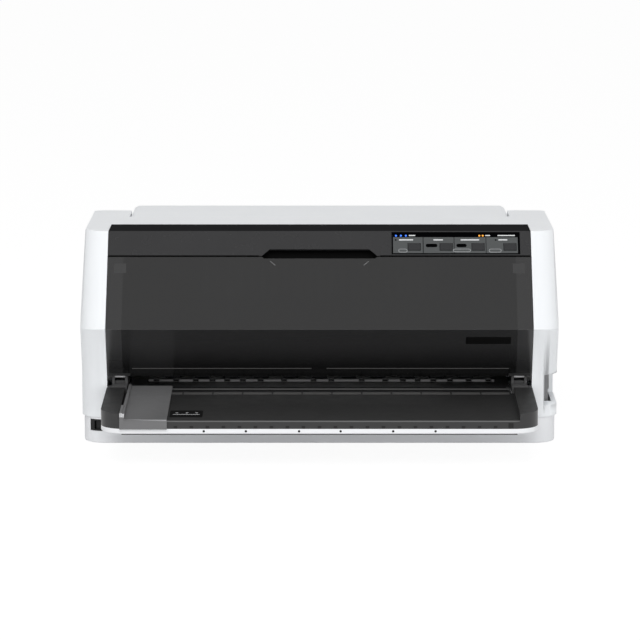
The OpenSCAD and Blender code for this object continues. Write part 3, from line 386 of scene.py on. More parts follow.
def inked_nylon(name):
    """Woven ribbon soaked in black ink."""
    made = Finish(name)
    across = made.node("ShaderNodeTexWave", {"bands_direction": "X"}, {"Vector": made.place, "Scale": 900.0}, "Fac")
    along = made.node("ShaderNodeTexWave", {"bands_direction": "Y"}, {"Vector": made.place, "Scale": 900.0}, "Fac")
    weave = across * along
    return made.surface(made.principled(
        Base_Color=made.tone(weave, (0.004, 0.004, 0.005), (0.02, 0.02, 0.026)),
        Roughness=made.range(weave, 0.0, 1.0, 0.75, 0.5),
        Normal=made.bump(weave, 0.4, 0.0001),
    ))


def pale_floor(name):
    """Pale sweep that takes the object's shadow and looks white to the camera and in reflections."""
    made = Finish(name)
    fine = made.noise(40.0, 2.0)
    cloth = made.node(
        "ShaderNodeBsdfDiffuse",
        None,
        {"Color": made.tone(fine, (0.80, 0.80, 0.80), (0.83, 0.83, 0.83))},
        "BSDF",
    )
    glow = made.node("ShaderNodeEmission", None, {"Color": (1.0, 1.0, 1.0), "Strength": 1.09}, "Emission")
    rays = made.tree.nodes.new("ShaderNodeLightPath")
    seen = Value(made, rays.outputs["Is Camera Ray"]) + Value(made, rays.outputs["Is Glossy Ray"])
    return made.surface(made.node("ShaderNodeMixShader", None, {0: seen * 0.85, 1: cloth, 2: glow}, "Shader"))


materials = {}


def make_materials(colours):
    c = colours
    materials.update(
        casing=moulded("casing white", c.casing, 0.42, 1000.0, 0.00002, 0.015, 0.4),
        base=moulded("base grey", c.base, 0.55, 1000.0, 0.00004, 0.03, 0.35),
        fascia=moulded("fascia charcoal", c.fascia, 0.26, 800.0, 0.00001, 0.08, 0.32),
        fascia_top=moulded("fascia matt strip", c.fascia_top, 0.75, 800.0, 0.00003, 0.08, 0.0),
        # Near-black painted shade, for the finger pocket, the seam above the cover and the grooves by the tray and
        # bar
        pocket=moulded("finger pocket black", (0.003, 0.003, 0.003), 0.6, 800.0, 0.00002, 0.1, 0.05),
        # The cover's third colour is the pale tone painted where light shows through it
        cover=smoke_tint("smoke cover", c.cover, (0.024, 0.024, 0.0245)),
        tray=moulded("tray black", c.tray, 0.5, 1100.0, 0.00005, 0.06, 0.22),
        # Paler copy of the tray black, a painted highlight on its rounded edges
        tray_edge=moulded("tray's rounded edge", (0.10, 0.10, 0.101), 0.35, 1100.0, 0.00003, 0.06, 0.5),
        # The tray black painted lighter for its front and side faces, as lit
        tray_front=moulded("tray front", (0.028, 0.028, 0.0285), 0.4, 1100.0, 0.00004, 0.06, 0.4),
        # Black painted lighter, standing in for light under the cover; also used for the painted shadow strip under
        # the lip
        slab=moulded("paper path black", (0.068, 0.068, 0.069), 0.5, 1100.0, 0.00004, 0.06, 0.25),
        # Pale lines painted as highlights on the tray's rear edge and near the cover's lower edge
        rear_line=moulded("tray rear line", (0.075, 0.074, 0.073), 0.45, 1100.0, 0.00003, 0.05, 0.3),
        # Pale grey, a painted highlight on the guide's rounded front edge
        guide_edge=moulded("guide's rounded edge", (0.46, 0.465, 0.475), 0.35, 1100.0, 0.00002, 0.04, 0.5),
        lever=moulded("lever grey", (0.27, 0.27, 0.275), 0.45, 900.0, 0.00003, 0.05, 0.4),
        guide=moulded("guide grey", c.guide, 0.4, 1100.0, 0.00003, 0.05, 0.4),
        lip=moulded("lip white", c.lip, 0.42, 1000.0, 0.00002, 0.015, 0.4),
        panel=moulded("panel grey", c.panel, 0.45, 1500.0, 0.00002, 0.04, 0.4),
        panel_black=moulded("panel black", (0.0015, 0.0015, 0.0018), 0.4, 1500.0, 0.00001, 0.05, 0.0),
        key=moulded("key grey", (0.022, 0.0225, 0.024), 0.4, 1500.0, 0.00002, 0.05, 0.25),
        mark=printed("white marks", (0.62, 0.63, 0.64)),
        pill=printed("grey pills", (0.34, 0.35, 0.36)),
        label=moulded("black label", (0.004, 0.004, 0.004), 0.6, 1800.0, 0.00001, 0.05, 0.05),
        matt_black=moulded("matt black plastic", (0.014, 0.014, 0.015), 0.62, 700.0, 0.00005, 0.08, 0.25),
        dark_grey=moulded("dark grey plastic", (0.035, 0.036, 0.038), 0.5, 700.0, 0.00004, 0.08, 0.3),
        # Pale tops painted as if lit under the cover
        bar_grey=moulded("notched bar grey", (0.24, 0.24, 0.243), 0.5, 900.0, 0.00003, 0.05, 0.3),
        bumper=rubber("bumper grey", (0.36, 0.36, 0.37)),
        foot=rubber("foot rubber", (0.012, 0.012, 0.012)),
        feed_rubber=rubber("feed roller rubber", (0.02, 0.02, 0.021)),
        belt=rubber("belt rubber", (0.01, 0.01, 0.01)),
        acetal=moulded("natural acetal", (0.72, 0.71, 0.66), 0.35, 300.0, 0.00002, 0.03),
        pale_pin=moulded("pale pins", (0.7, 0.7, 0.71), 0.4, 500.0, 0.00002, 0.03),
        zinc=metal("zinc-plated sheet", (0.56, 0.58, 0.6), 0.38, None, 0.25),
        ground_steel=metal("ground steel", (0.62, 0.63, 0.64), 0.18, (0.02, 1.0, 1.0)),
        turned=metal("turned aluminium", (0.6, 0.61, 0.62), 0.3, (1.0, 1.0, 0.05)),
        fins=metal("anodised fins", (0.12, 0.125, 0.135), 0.42, (1.0, 1.0, 0.1)),
        brass=metal("brass", (0.62, 0.45, 0.17), 0.25, (0.05, 1.0, 1.0)),
        contact=metal("plated contacts", (0.68, 0.66, 0.6), 0.25, (1.0, 0.05, 1.0)),
        board=circuit_board("board green", (0.012, 0.075, 0.035)),
        board_tan=circuit_board("board tan", (0.22, 0.14, 0.05)),
        capacitor=moulded("capacitor sleeve", (0.015, 0.03, 0.12), 0.3, 300.0, 0.00002, 0.05),
        ribbon=inked_nylon("inked ribbon"),
        blue_lamp=lamp("blue lamp", c.blue, 1.1),
        amber_lamp=lamp("amber lamp", c.amber, 0.7),
    )


# ---------- modelling ----------


def moved(bm, verts, matrix):
    bmesh.ops.transform(bm, matrix=matrix, verts=verts)


def sharp_edges(faces, angle):
    """Edges of the faces that are sharper than the angle in degrees."""
    found = {edge for face in faces for edge in face.edges}
    return [edge for edge in found if len(edge.link_faces) == 2 and edge.calc_face_angle(0.0) > math.radians(angle)]


def bevelled(bm, edges, width, segments, slide=False):
    """Rounds the edges and keeps the material of their faces."""
    return bmesh.ops.bevel(
        bm,
        geom=edges,
        offset=width,
        offset_type="OFFSET",
        segments=segments,
        profile=0.5,
        affect="EDGES",
        clamp_overlap=True,
        material=-1,
        loop_slide=slide,
    )


def round_edges(bm, edges, width, segments=2):
    if edges and width > 0:
        bevelled(bm, edges, width, segments, slide=True)


def block(bm, x, y, z, round_by=0.0, segments=2, place=None, upright=0.0, material=0):
    """A bar between two values on each axis. upright rounds its edges along Z first, then round_by the rest."""
    made = bmesh.ops.create_cube(bm, size=1.0)["verts"]
    size = Matrix.Diagonal((x[1] - x[0], y[1] - y[0], z[1] - z[0], 1.0))
    middle = Vector([sum(span) / 2 for span in (x, y, z)])
    moved(bm, made, Matrix.Translation(middle) @ size)
    seed = made[0]
    if upright:
        edges = {edge for vert in made for edge in vert.link_edges}
        corners = [edge for edge in edges if (edge.verts[0].co - edge.verts[1].co).xy.length < 1e-6]
        out = bevelled(bm, corners, upright, 6)
        seed = out["verts"][0]
    island = joined(seed)
    if round_by:
        edges = sharp_edges({f for v in island for f in v.link_faces}, 40.0)
        island = joined(bevelled(bm, edges, round_by, segments)["verts"][0])
    for face in {f for v in island for f in v.link_faces}:
        face.material_index = material
    if place:
        moved(bm, island, place)
    return island


def joined(seed):
    """The vertices that hang together with the seed."""
    found, open_ends = {seed}, [seed]
    while open_ends:
        for edge in open_ends.pop().link_edges:
            for vert in edge.verts:
                if vert not in found:
                    found.add(vert)
                    open_ends.append(vert)
    return list(found)


def rod(bm, radius, start, end, segments, place=None, material=0):
    """A round bar from start to end."""
    start, end = Vector(start), Vector(end)
    axis = end - start
    turn = axis.to_track_quat("Z", "Y").to_matrix().to_4x4()
    size = {"radius1": radius, "radius2": radius, "depth": axis.length}
    made = bmesh.ops.create_cone(bm, cap_ends=True, segments=segments, **size)["verts"]
    moved(bm, made, Matrix.Translation((start + end) / 2) @ turn)
    for face in {f for v in made for f in v.link_faces}:
        face.material_index = material
    if place:
        moved(bm, made, place)


def piece(name, bm, body, finishes, replaces=(), smooth=32.0):
    """Turns millimetres into metres and hangs the finished mesh on its body."""
    bmesh.ops.scale(bm, vec=(MM, MM, MM), verts=bm.verts)
    mesh = bpy.data.meshes.new(name)
    bm.to_mesh(mesh)
    bm.free()
    mesh.polygons.foreach_set("use_smooth", [True] * len(mesh.polygons))
    mesh.set_sharp_from_angle(angle=math.radians(smooth))
    made = bpy.data.objects.new(name, mesh)
    even = made.modifiers.new("even shading", "WEIGHTED_NORMAL")
    even.mode = "FACE_AREA"
    even.weight = 80
    even.keep_sharp = True
    bpy.context.scene.collection.objects.link(made)
    for finish in [finishes] if isinstance(finishes, str) else finishes:
        mesh.materials.append(materials[finish])
    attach(made, body)
    if replaces:
        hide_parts(*replaces)
    return made


def from_construction(node):
    """The construction's shape of a node as one joined mesh, in millimetres."""
    bm = bmesh.new()
    bm.from_mesh(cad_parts[node].data)
    bmesh.ops.scale(bm, vec=(1 / MM, 1 / MM, 1 / MM), verts=bm.verts)
    bmesh.ops.remove_doubles(bm, verts=bm.verts, dist=0.002)
    bmesh.ops.dissolve_limit(bm, angle_limit=math.radians(0.4), verts=bm.verts, edges=bm.edges)
    return bm


def outer_edges(bm, pick, angle=25.0):
    """Convex edges sharper than the angle whose middle the test accepts."""
    found = []
    for edge in bm.edges:
        if len(edge.link_faces) == 2 and edge.is_convex and edge.calc_face_angle(0.0) > math.radians(angle):
            middle = (edge.verts[0].co + edge.verts[1].co) / 2
            if pick(middle, edge):
                found.append(edge)
    return found


def paint(node, *rules):
    """Gives a construction node its finish.

    Each further rule is a finish and a test of a face's middle in millimetres.
    """
    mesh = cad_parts[node].data
    mesh.materials.clear()
    names = [rule if isinstance(rule, str) else rule[0] for rule in rules]
    for name in names:
        mesh.materials.append(materials[name])
    for face in mesh.polygons:
        face.material_index = 0
        middle = face.center / MM
        for index, rule in enumerate(rules):
            if not isinstance(rule, str) and rule[1](middle):
                face.material_index = index


# ---------- pieces ----------


class PrinterOperator:
    """What the operators share."""

    bl_options = {"REGISTER", "UNDO"}

    @property
    def sizes(self):
        return bpy.context.scene.printer_sizes

    @property
    def colours(self):
        return bpy.context.scene.printer_colours


class PRINTER_OT_finishes(PrinterOperator, bpy.types.Operator):
    """Makes the materials and gives one to every node of the construction"""

    bl_idname = "printer.finishes"
    bl_label = "Finishes"

    def execute(self, context):
        make_materials(self.colours)
        plain = {
            "base": ["base_pan"],
            "foot": ["rubber_feet"],
            "casing": ["upper_casing", "rear_guide"],
            "fascia": ["control_fascia"],
            "panel_black": ["key_panel"],
            "key": ["key_1", "key_2", "key_3", "key_4"],
            "cover": ["front_cover"],
            "bumper": ["cover_bumpers"],
            "pale_pin": ["hinge_pins"],
            "tray": ["sheet_tray"],
            "slab": ["lower_guide", "hinge_blocks", "notched_bar"],
            "lever": ["release_lever"],
            "dark_grey": ["ribbon_knob", "left_tractor_door", "right_tractor_door", "left_tractor", "right_tractor"],
            "lip": ["tray_lip"],
            "guide": ["edge_guide"],
            "matt_black": [
                "switch_housing",
                "power_rocker",
                "carriage",
                "platen_bar",
                "ribbon_cartridge",
                "feed_motor",
            ],
            "zinc": ["casing_screws", "chassis_plate", "left_frame", "right_frame", "cross_beam"],
            "ground_steel": ["guide_shaft", "support_rail", "tractor_rod"],
            "belt": ["drive_belt"],
            "turned": ["motor_pulley", "idler_pulley"],
            "acetal": ["idler_gear", "front_roller_gear", "rear_roller_gear", "rear_idler_gear"],
            "ribbon": ["ribbon"],
        }
        for finish, nodes in plain.items():
            for node in nodes:
                paint(node, finish)
        paint("indicator_lamps", "blue_lamp", ("amber_lamp", lambda p: p.x > 120))
        paint("print_head", "fins", ("turned", lambda p: p.z < 68.5))
        paint("carriage_motor", "matt_black", ("zinc", lambda p: p.z > 92.5))
        paint("motor_pinion", "brass", ("ground_steel", lambda p: p.x > -201.3))
        paint("tractor_shaft", "ground_steel", ("acetal", lambda p: p.x < -201.3))
        feed_z, feed_core, pinch_z, pinch_core = 47.3, 4.1, 60.6, 2.2
        for row, y in (("front", 8.0), ("rear", 62.0)):
            rubber_face = lambda p, y=y: math.hypot(p.y - y, p.z - feed_z) > feed_core
            pinch_face = lambda p, y=y: math.hypot(p.y - y, p.z - pinch_z) > pinch_core
            paint(f"{row}_feed_roller", "ground_steel", ("feed_rubber", rubber_face))
            paint(f"{row}_pinch_roller", "ground_steel", ("dark_grey", pinch_face))
        paint("panel_board", "board", ("matt_black", lambda p: (ON_SLOPE.inverted() @ p).z > -7.3))
        # Above floor are the boards' parts, and below board_z their metal supports
        floor = 14.2
        board_z = 12.4
        paint(
            "power_supply",
            "board_tan",
            ("zinc", lambda p: p.z < board_z or (-151 < p.x < -129 and p.z > floor)),
            ("matt_black", lambda p: -121 < p.x < -89 and p.z > floor),
            ("capacitor", lambda p: -84 < p.x < -52 and p.z > floor),
        )
        paint(
            "main_board",
            "board",
            ("zinc", lambda p: p.z < board_z or (89 < p.x < 141 and p.z > floor)),
            ("matt_black", lambda p: 9 < p.x < 73 and p.z > floor),
        )

        def data_contact(p):
            return p.x > 0 and (p.x > 165.5 or abs(p.y - 144.9) < 0.75 and not 98 < p.x < 150.2)

        def mains_contact(p):
            return p.x < 0 and abs(p.x + 217.5) < 4.1 and 129 < p.y < 140.6 and abs(p.z - 43.5) < 8.2

        paint("rear_sockets", "matt_black", ("contact", data_contact), ("contact", mains_contact))
        return {"FINISHED"}


class PRINTER_OT_casing(PrinterOperator, bpy.types.Operator):
    """Casing, base and rear guide with rounded edges"""

    bl_idname = "printer.casing"
    bl_label = "Casing and base"

    def execute(self, context):
        sizes = self.sizes
        bm = from_construction("upper_casing")
        along = Vector((0, math.cos(SLOPE_A), math.sin(SLOPE_A)))
        down = Vector((0, math.cos(KNEE_A), math.sin(KNEE_A)))
        corner = Vector((0, *CREASE))

        def on_crease(p, edge):
            near = all(abs((vert.co - corner).dot(along + down)) < 0.6 for vert in edge.verts)
            return near and abs(p.x) > OPEN_X - 0.5 and p.z > 100 and p.y < -30

        round_edges(bm, outer_edges(bm, on_crease, 15.0), sizes.crease_round / MM, 3)

        def outside(p, edge):
            if edge.calc_length() < 1.2:
                return False
            if abs(p.z - 210) < 0.05 or abs(p.z - 27) < 0.05:
                return True
            return abs(abs(p.x) - OPEN_X) < 0.05 and p.z > KNEE_H - 1 and p.y < 36

        round_edges(bm, outer_edges(bm, outside, 35.0), sizes.edge_round / MM, 2)
        piece("casing", bm, "printer", "casing", ["upper_casing"])

        bm = from_construction("base_pan")
        # The skirt comes down close to the floor, around the feet
        for vert in bm.verts:
            if vert.co.z < 2.05:
                vert.co.z = 0.5
        rim = outer_edges(bm, lambda p, e: p.z < 0.6 and (abs(p.x) > 200 or p.y < -50 or p.y > 140), 60.0)
        round_edges(bm, rim, 1.0, 2)
        piece("base_shell", bm, "printer", "base", ["base_pan"])

        bm = from_construction("rear_guide")
        round_edges(bm, outer_edges(bm, lambda p, e: p.z > 197 and e.calc_length() > 2.0, 30.0), 0.6, 2)
        piece("rear_lid", bm, "rear_guide", "casing", ["rear_guide"])
        return {"FINISHED"}


class PRINTER_OT_fascia(PrinterOperator, bpy.types.Operator):
    """Fascia with its matt top strip, and near-black painted shade in its seam lines and finger pocket"""

    bl_idname = "printer.fascia"
    bl_label = "Fascia"

    def execute(self, context):
        bm = from_construction("control_fascia")
        back = ON_SLOPE.inverted()
        # Top faces get the matt strip, and the finger pocket's recessed faces near-black painted shade
        for face in bm.faces:
            middle = face.calc_center_median()
            local = back @ middle
            if face.normal.z > 0.99 and middle.z > 209:
                face.material_index = 1
            elif local.z < -2.6 and abs(local.x) < 62:
                face.material_index = 2
        rim = outer_edges(bm, lambda p, e: e.calc_length() > 3 and p.z > 180 and (back @ p).z > -0.05, 35.0)
        round_edges(bm, rim, 0.5, 2)
        # Lip along the lower edge of the notch
        block(bm, (-53, 53), (-31.9, -30.2), (-9.6, -8.2), 0.4, 1, ON_SLOPE, material=0)
        # Dark strips painted as the shadow in the seam above the cover
        for x in ((-213.0, -61.0), (61.0, 213.0)):
            block(bm, x, (-28.6, -27.9), (-0.4, 0.1), 0.0, 1, ON_SLOPE, material=2)
            block(bm, x, (-29.35, -28.4), (-2.4, -0.8), 0.0, 1, ON_SLOPE, material=2)
        piece("fascia", bm, "printer", ["fascia", "fascia_top", "pocket"], ["control_fascia"])
        return {"FINISHED"}


# Places on the key panel, in the slope's own x and y: fields, keys and marks
FIELDS = ((74.2, 104.2), (104.9, 135.5), (136.1, 167.7), (168.3, 200.0))
FIELD_Y = (-25.4, -7.2)
KEY_X = (95.5, 127.7, 159.9, 192.1)
KEY_GAP_Y = (-22.6, -14.0)
KEY_GAP_HALF = 6.6
MARK_BARS = (
    ((80.2, 94.5), (-11.0, -9.6)),
    ((115.0, 124.6), (-11.0, -9.6)),
    ((142.4, 161.2), (-11.0, -9.6)),
    ((180.6, 189.6), (-11.0, -9.6)),
    ((90.2, 96.6), (-5.9, -4.7)),
    ((167.4, 172.2), (-5.9, -4.7)),
    ((179.8, 197.4), (-5.9, -4.7)),
)
PALE_PILLS = (((79.5, 88.6), (-24.6, -20.6)), ((134.6, 152.4), (-24.1, -20.6)), ((170.8, 183.4), (-24.6, -20.6)))


class PRINTER_OT_key_panel(PrinterOperator, bpy.types.Operator):
    """Grey fields, key caps and plain marks of the key panel"""

    bl_idname = "printer.key_panel"
    bl_label = "Key panel"

    def execute(self, context):
        proud = self.sizes.mark_height / MM
        bm = bmesh.new()
        for (left, right), key_x in zip(FIELDS, KEY_X):
            gap = (key_x - KEY_GAP_HALF, key_x + KEY_GAP_HALF)
            strips = (
                ((left, gap[0]), FIELD_Y),
                ((gap[1], right), FIELD_Y),
                (gap, (FIELD_Y[0], KEY_GAP_Y[0])),
                (gap, (KEY_GAP_Y[1], FIELD_Y[1])),
            )
            for x, y in strips:
                block(bm, x, y, (-0.3, proud), 0.0, 1, ON_SLOPE)
        piece("panel_fields", bm, "printer", "panel")

        # Plain bars, pills and dots on the fields
        bm = bmesh.new()
        for x, y in MARK_BARS:
            block(bm, x, y, (-0.1, proud * 2), 0.0, 1, ON_SLOPE, 0.3, 0)
        rim = 0.5
        for x, y in PALE_PILLS:
            end_round = (y[1] - y[0]) / 2 - 0.05
            inner_x = (x[0] + rim, x[1] - rim)
            inner_y = (y[0] + rim, y[1] - rim)
            block(bm, x, y, (-0.1, proud * 2), 0.0, 1, ON_SLOPE, end_round, 1)
            block(bm, inner_x, inner_y, (0, proud * 2.5), 0.0, 1, ON_SLOPE, end_round - rim, 3)
        for x in ((107.2, 118.9), (138.1, 148.4)):
            block(bm, x, (-18.6, -14.8), (-0.1, proud * 2), 0.0, 1, ON_SLOPE, 1.8, 2)
        for x in (76.9, 177.9):
            rod(bm, 0.9, (x, -10.4, -0.1), (x, -10.4, proud * 2), 16, place=ON_SLOPE, material=2)
        piece("panel_marks", bm, "printer", ["mark", "pill", "panel_black", "panel"])

        back = ON_SLOPE.inverted()
        for number in range(1, len(KEY_X) + 1):
            node = f"key_{number}"
            bm = from_construction(node)
            round_edges(bm, outer_edges(bm, lambda p, e: (back @ p).z > 0.0, 40.0), 0.7, 3)
            piece(f"key_cap_{number}", bm, node, "key", [node])
        return {"FINISHED"}


class PRINTER_OT_cover(PrinterOperator, bpy.types.Operator):
    """Smoke cover with a rounded crease, painted highlight lines and a plain matt label"""

    bl_idname = "printer.cover"
    bl_label = "Front cover"

    def execute(self, context):
        sizes = self.sizes
        bm = from_construction("front_cover")
        crease = outer_edges(bm, lambda p, e: abs(p.y - CREASE[0]) < 0.3 and abs(p.z - CREASE[1]) < 0.3, 20.0)
        round_edges(bm, crease, sizes.crease_round / MM, 4)
        back = ON_SLOPE.inverted()

        def on_rim(p, edge):
            inside = p.z > KNEE_H + 1 and abs(p.x) < OPEN_X - 0.6
            return edge.calc_length() > 8 and inside and (back @ p).z > -0.1

        round_edges(bm, outer_edges(bm, on_rim, 50.0), 0.5, 2)
        piece("cover_shell", bm, "front_cover", "cover", ["front_cover"])

        bm = bmesh.new()
        half = sizes.label_width / MM / 2
        block(bm, (168.5 - half, 168.5 + half), (-17.2, -9.0), (-0.05, 0.15), 0.05, 1, ON_LOWER, 0.8)
        piece("cover_label", bm, "front_cover", "label")

        bm = bmesh.new()
        # Pale lines painted as the highlight near the cover's bottom edge
        for x in ((-188, -8), (7, 190)):
            block(bm, x, (-46.9, -46.0), (-0.1, 0.22), 0.08, 1, ON_LOWER)
        # Pale strips painted as the highlights on the slanted corners under the notch
        for side in (-1, 1):
            turn = Matrix.Rotation(side * math.radians(42), 4, "Z")
            place = ON_SLOPE @ Matrix.Translation((side * 47.0, -37.0, 0)) @ turn
            block(bm, (-3.4, 3.4), (-0.35, 0.35), (-0.1, 0.2), 0.08, 1, place, material=1)
        piece("cover_ridges", bm, "front_cover", ["rear_line", "guide"])
        return {"FINISHED"}


class PRINTER_OT_tray(PrinterOperator, bpy.types.Operator):
    """Sheet tray with its teeth, rear edge and lip, and the bar and hinge saddles behind it"""

    bl_idname = "printer.tray"
    bl_label = "Sheet tray"

    def execute(self, context):
        sizes = self.sizes
        bm = from_construction("sheet_tray")
        picked = outer_edges(bm, lambda p, e: p.z > 41 and p.y < -60 and e.calc_length() > 1.5, 30.0)
        round_edges(bm, picked, sizes.tray_round / MM, 2)
        for face in bm.faces:
            middle = face.calc_center_median()
            if middle.y > -150 or middle.z < 40.5 or face.normal.y > 0.1 and abs(middle.x) < 190:
                continue
            # Rounded edge faces get the painted highlight
            if 0.12 < face.normal.z < 0.97:
                face.material_index = 1
            # Front and side faces get the black painted lighter than the top, as lit
            elif face.normal.z < 0.12 and (abs(middle.x) > 194 or middle.y < TRAY_Y + 1):
                face.material_index = 2
        piece("tray_shell", bm, "sheet_tray", ["tray", "tray_edge", "tray_front"], ["sheet_tray"])

        bm = bmesh.new()
        pitch = sizes.tooth_pitch / MM
        # The teeth stay within the gap that the edge guide's flange runs in
        tooth_y = (TRAY_Y - 0.2, TRAY_Y + 1.0)
        for index in range(21):
            x = -139.5 + index * pitch
            block(bm, (x - 1.8, x + 1.8), tooth_y, (40.5, 43.2), 0.15, 1)
        block(bm, (183, 188), tooth_y, (40.5, 46), 0.15, 1)
        piece("tray_teeth", bm, "sheet_tray", "tray")

        # Pale bands painted as highlights along the tray's rear edge, with a dark band painted as the shade between
        # them
        bm = bmesh.new()
        half = 190.0
        nick = 0.8
        nicks = [-136.5 + 29.8 * k for k in range(11)]
        for start, end in zip([-half] + [x + nick for x in nicks], [x - nick for x in nicks] + [half]):
            z = sheet_height(-70.5)
            block(bm, (start, end), (-75.5, -65.5), (z - 0.6, z + 0.22), 0.1, 1)
        z = sheet_height(-50.5)
        block(bm, (-half, half), (-56.0, -50.5), (z - 0.5, z + 0.05), 0.0, 1)
        z = sheet_height(-57.5)
        block(bm, (-half, half), (-62.5, -57.5), (z - 0.5, z + 0.02), 0.0, 1, material=1)
        piece("tray_rear_edge", bm, "sheet_tray", ["rear_line", "pocket"])

        # Saddles under the hinge pins, between the lugs of the blocks
        bm = bmesh.new()
        for side in (-1, 1):
            x = sorted((side * 195.8, side * 205.7))
            block(bm, x, (-51.4, -46.8), (60.8, 63.6), 0.4, 1)
        piece("hinge_saddles", bm, "printer", "slab")

        # Tops of the bar between its notches painted pale as lit, and a dark strip painted as the shade in the
        # groove in front of it
        bm = bmesh.new()
        notch = 2.9
        starts = [-174.0] + [x + notch for x in BAR_NOTCHES]
        ends = [x - notch for x in BAR_NOTCHES] + [178.0]
        for start, end in zip(starts, ends):
            block(bm, (start + 0.3, end - 0.3), (-12.25, -8.4), (55.1, 57.3), 0.1, 1)
        block(bm, (-188, 188), (-46.5, -41.5), (54.6, 55.08), 0.0, 1, material=1)
        piece("bar_tops", bm, "printer", ["bar_grey", "pocket"])

        bm = from_construction("tray_lip")
        round_edges(bm, outer_edges(bm, lambda p, e: p.z < 36 and e.calc_length() > 1.0, 50.0), 1.0, 3)
        piece("lip_shell", bm, "sheet_tray", "lip", ["tray_lip"])

        bm = bmesh.new()
        # Black discs painted as the shade in the lip's vent holes
        for x in (-112.1, -71.3, -19.8, 20.5, 71.4, 112.5):
            rod(bm, 1.15, (x, TRAY_Y + 1, 37.9), (x, TRAY_Y - 0.15, 37.9), 16)
        # Dark strip painted as the shadow under the lip
        block(bm, (-192, 192), (TRAY_Y + 2.5, TRAY_Y + 6.0), (33.9, 35.4), 0.2, 1, material=1)
        piece("lip_vents", bm, "sheet_tray", ["label", "slab"])
        return {"FINISHED"}


class PRINTER_OT_edge_guide(PrinterOperator, bpy.types.Operator):
    """Sliding edge guide and the small scale plate beside it"""

    bl_idname = "printer.edge_guide"
    bl_label = "Edge guide"

    def execute(self, context):
        bm = from_construction("edge_guide")
        # The front edge comes down in one round with the step behind it
        step_y = -182.5
        for vert in bm.verts:
            if vert.co.y < step_y and 49.5 < vert.co.z < 51 and vert.co.x > -190:
                vert.co.z = 49.9

        def across_front(p, edge):
            return p.y < -184.5 and p.z > 46 and abs(edge.verts[0].co.x - edge.verts[1].co.x) > 20

        round_edges(bm, outer_edges(bm, across_front, 30.0), 1.5, 4)
        others = outer_edges(bm, lambda p, e: e.calc_length() > 1.0 and (p.y > step_y or p.z < 46), 30.0)
        round_edges(bm, others, 0.6, 3)
        # Faces of the rounded front edge get the painted highlight
        for face in bm.faces:
            middle = face.calc_center_median()
            if middle.y < step_y and middle.z > 46 and 0.12 < face.normal.z < 0.99:
                face.material_index = 1
        piece("guide_plate", bm, "edge_guide", ["guide", "guide_edge"], ["edge_guide"])

        bm = bmesh.new()
        tilt = math.atan(SHEET_RISE)
        place = Matrix.Translation((-130, -155, sheet_height(-155))) @ Matrix.Rotation(tilt, 4, "X")
        block(bm, (-16, 16), (-13, 13), (-0.3, 0.22), 0.05, 1, place, 1.0, 0)
        for x in (-9.5, 0.5, 10.0):
            rod(bm, 1.7, (x, 3.4, 0.2), (x, 3.4, 0.33), 3, place=place, material=1)
        block(bm, (-13, 13), (-3.2, -2.4), (0.2, 0.33), 0.0, 1, place, 0.0, 1)
        piece("scale_plate", bm, "sheet_tray", ["label", "mark"])
        return {"FINISHED"}


class PRINTER_OT_switch(PrinterOperator, bpy.types.Operator):
    """Power rocker and release lever with rounded edges"""

    bl_idname = "printer.switch"
    bl_label = "Switch and lever"

    def execute(self, context):
        bm = from_construction("power_rocker")
        round_edges(bm, outer_edges(bm, lambda p, e: p.y < FRONT_Y + 7, 30.0), 0.5, 2)
        piece("rocker_cap", bm, "power_rocker", "matt_black", ["power_rocker"])

        bm = from_construction("release_lever")
        round_edges(bm, outer_edges(bm, lambda p, e: p.z > 40, 30.0), 0.7, 3)
        piece("lever_grip", bm, "release_lever", "lever", ["release_lever"])
        return {"FINISHED"}


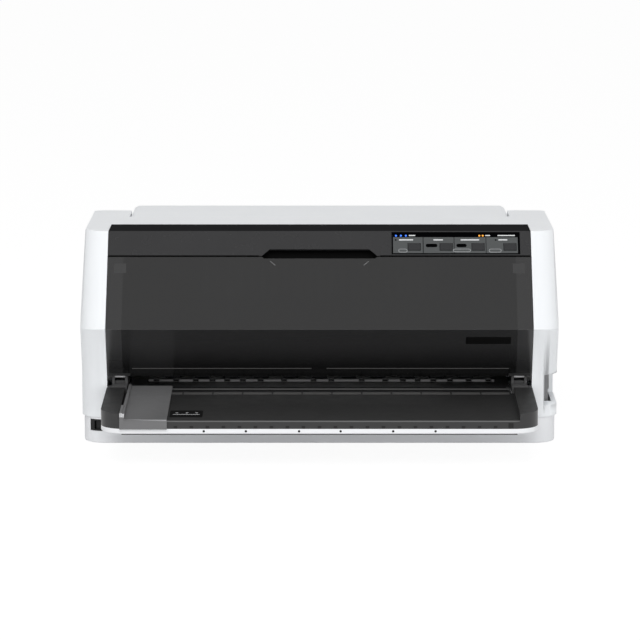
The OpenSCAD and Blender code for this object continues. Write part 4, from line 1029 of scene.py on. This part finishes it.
class PRINTER_OT_stage(PrinterOperator, bpy.types.Operator):
    """Pale floor, soft studio light and the camera at the photograph's angle"""

    bl_idname = "printer.stage"
    bl_label = "Stage"

    def execute(self, context):
        scene = bpy.context.scene
        bm = bmesh.new()
        bmesh.ops.create_grid(bm, x_segments=2, y_segments=2, size=12.0)
        mesh = bpy.data.meshes.new("floor")
        bm.to_mesh(mesh)
        bm.free()
        floor = bpy.data.objects.new("floor", mesh)
        scene.collection.objects.link(floor)
        mesh.materials.append(pale_floor("pale floor"))

        world = bpy.data.worlds.new("studio")
        scene.world = world
        world.use_nodes = True
        tree = world.node_tree
        tree.nodes.clear()
        rays = tree.nodes.new("ShaderNodeLightPath")
        soft = tree.nodes.new("ShaderNodeBackground")
        soft.inputs["Color"].default_value = (1.0, 1.0, 1.0, 1.0)
        soft.inputs["Strength"].default_value = 0.43
        white = tree.nodes.new("ShaderNodeBackground")
        white.inputs["Color"].default_value = (1.0, 1.0, 1.0, 1.0)
        white.inputs["Strength"].default_value = 1.0
        either = tree.nodes.new("ShaderNodeMath")
        either.operation = "MAXIMUM"
        again = tree.nodes.new("ShaderNodeMath")
        again.operation = "MAXIMUM"
        mix = tree.nodes.new("ShaderNodeMixShader")
        output = tree.nodes.new("ShaderNodeOutputWorld")
        link = tree.links.new
        link(rays.outputs["Is Camera Ray"], either.inputs[0])
        link(rays.outputs["Is Glossy Ray"], either.inputs[1])
        link(either.outputs[0], again.inputs[0])
        link(rays.outputs["Is Transmission Ray"], again.inputs[1])
        link(again.outputs[0], mix.inputs[0])
        link(soft.outputs[0], mix.inputs[1])
        link(white.outputs[0], mix.inputs[2])
        link(mix.outputs[0], output.inputs["Surface"])

        # Each lamp's name, place, size and power
        lamps = (
            ("key light", (-0.2, -2.25, 2.55), (2.2, 2.2), 60.0),
            ("low fill", (0.2, -3.2, 0.19), (2.4, 0.28), 23.0),
            ("left fill", (-2.9, -0.3, 0.45), (1.6, 0.8), 3.0),
            ("right fill", (2.9, -0.3, 0.45), (1.6, 0.8), 9.0),
        )
        lit_point = Vector((0, -0.05, 0.12))
        for name, at, size, power in lamps:
            light = bpy.data.lights.new(name, "AREA")
            light.shape = "RECTANGLE"
            light.size, light.size_y = size
            light.energy = power
            holder = bpy.data.objects.new(name, light)
            holder.location = at
            holder.visible_glossy = False
            holder.visible_camera = False
            holder.rotation_euler = (lit_point - Vector(at)).to_track_quat("-Z", "Y").to_euler()
            scene.collection.objects.link(holder)

        data = bpy.data.cameras.new("camera")
        data.lens = 185.6
        data.sensor_width = 36.0
        data.clip_end = 50.0
        camera = bpy.data.objects.new("camera", data)
        camera.location = (0.0005, -self.sizes.camera_distance, self.sizes.camera_height)
        camera.rotation_euler = (math.pi / 2 - self.sizes.camera_tilt, 0.0, 0.0)
        scene.collection.objects.link(camera)
        scene.camera = camera
        scene.view_settings.view_transform = "Standard"
        return {"FINISHED"}


OPERATORS = (
    PRINTER_OT_finishes,
    PRINTER_OT_casing,
    PRINTER_OT_fascia,
    PRINTER_OT_key_panel,
    PRINTER_OT_cover,
    PRINTER_OT_tray,
    PRINTER_OT_edge_guide,
    PRINTER_OT_switch,
    PRINTER_OT_stage,
)


class PRINTER_PT_panel(bpy.types.Panel):
    """Lists the printer's sizes, colours and pieces"""

    bl_idname = "PRINTER_PT_panel"
    bl_label = "Dot matrix printer"
    bl_space_type = "VIEW_3D"
    bl_region_type = "UI"
    bl_category = "Printer"

    def draw(self, context):
        scene = context.scene
        for group in (scene.printer_sizes, scene.printer_colours):
            box = self.layout.box()
            for name in group.__annotations__:
                box.prop(group, name)
        column = self.layout.column()
        for operator in OPERATORS:
            column.operator(operator.bl_idname)


CLASSES = (PrinterSizes, PrinterColours, *OPERATORS, PRINTER_PT_panel)


def register():
    for cls in CLASSES:
        bpy.utils.register_class(cls)
    bpy.types.Scene.printer_sizes = bpy.props.PointerProperty(type=PrinterSizes)
    bpy.types.Scene.printer_colours = bpy.props.PointerProperty(type=PrinterColours)


def unregister():
    del bpy.types.Scene.printer_colours
    del bpy.types.Scene.printer_sizes
    for cls in reversed(CLASSES):
        bpy.utils.unregister_class(cls)


def main():
    """Builds everything in order."""
    register()
    for operator in OPERATORS:
        group, name = operator.bl_idname.split(".")
        getattr(getattr(bpy.ops, group), name)()


if __name__ == "__main__":
    main()
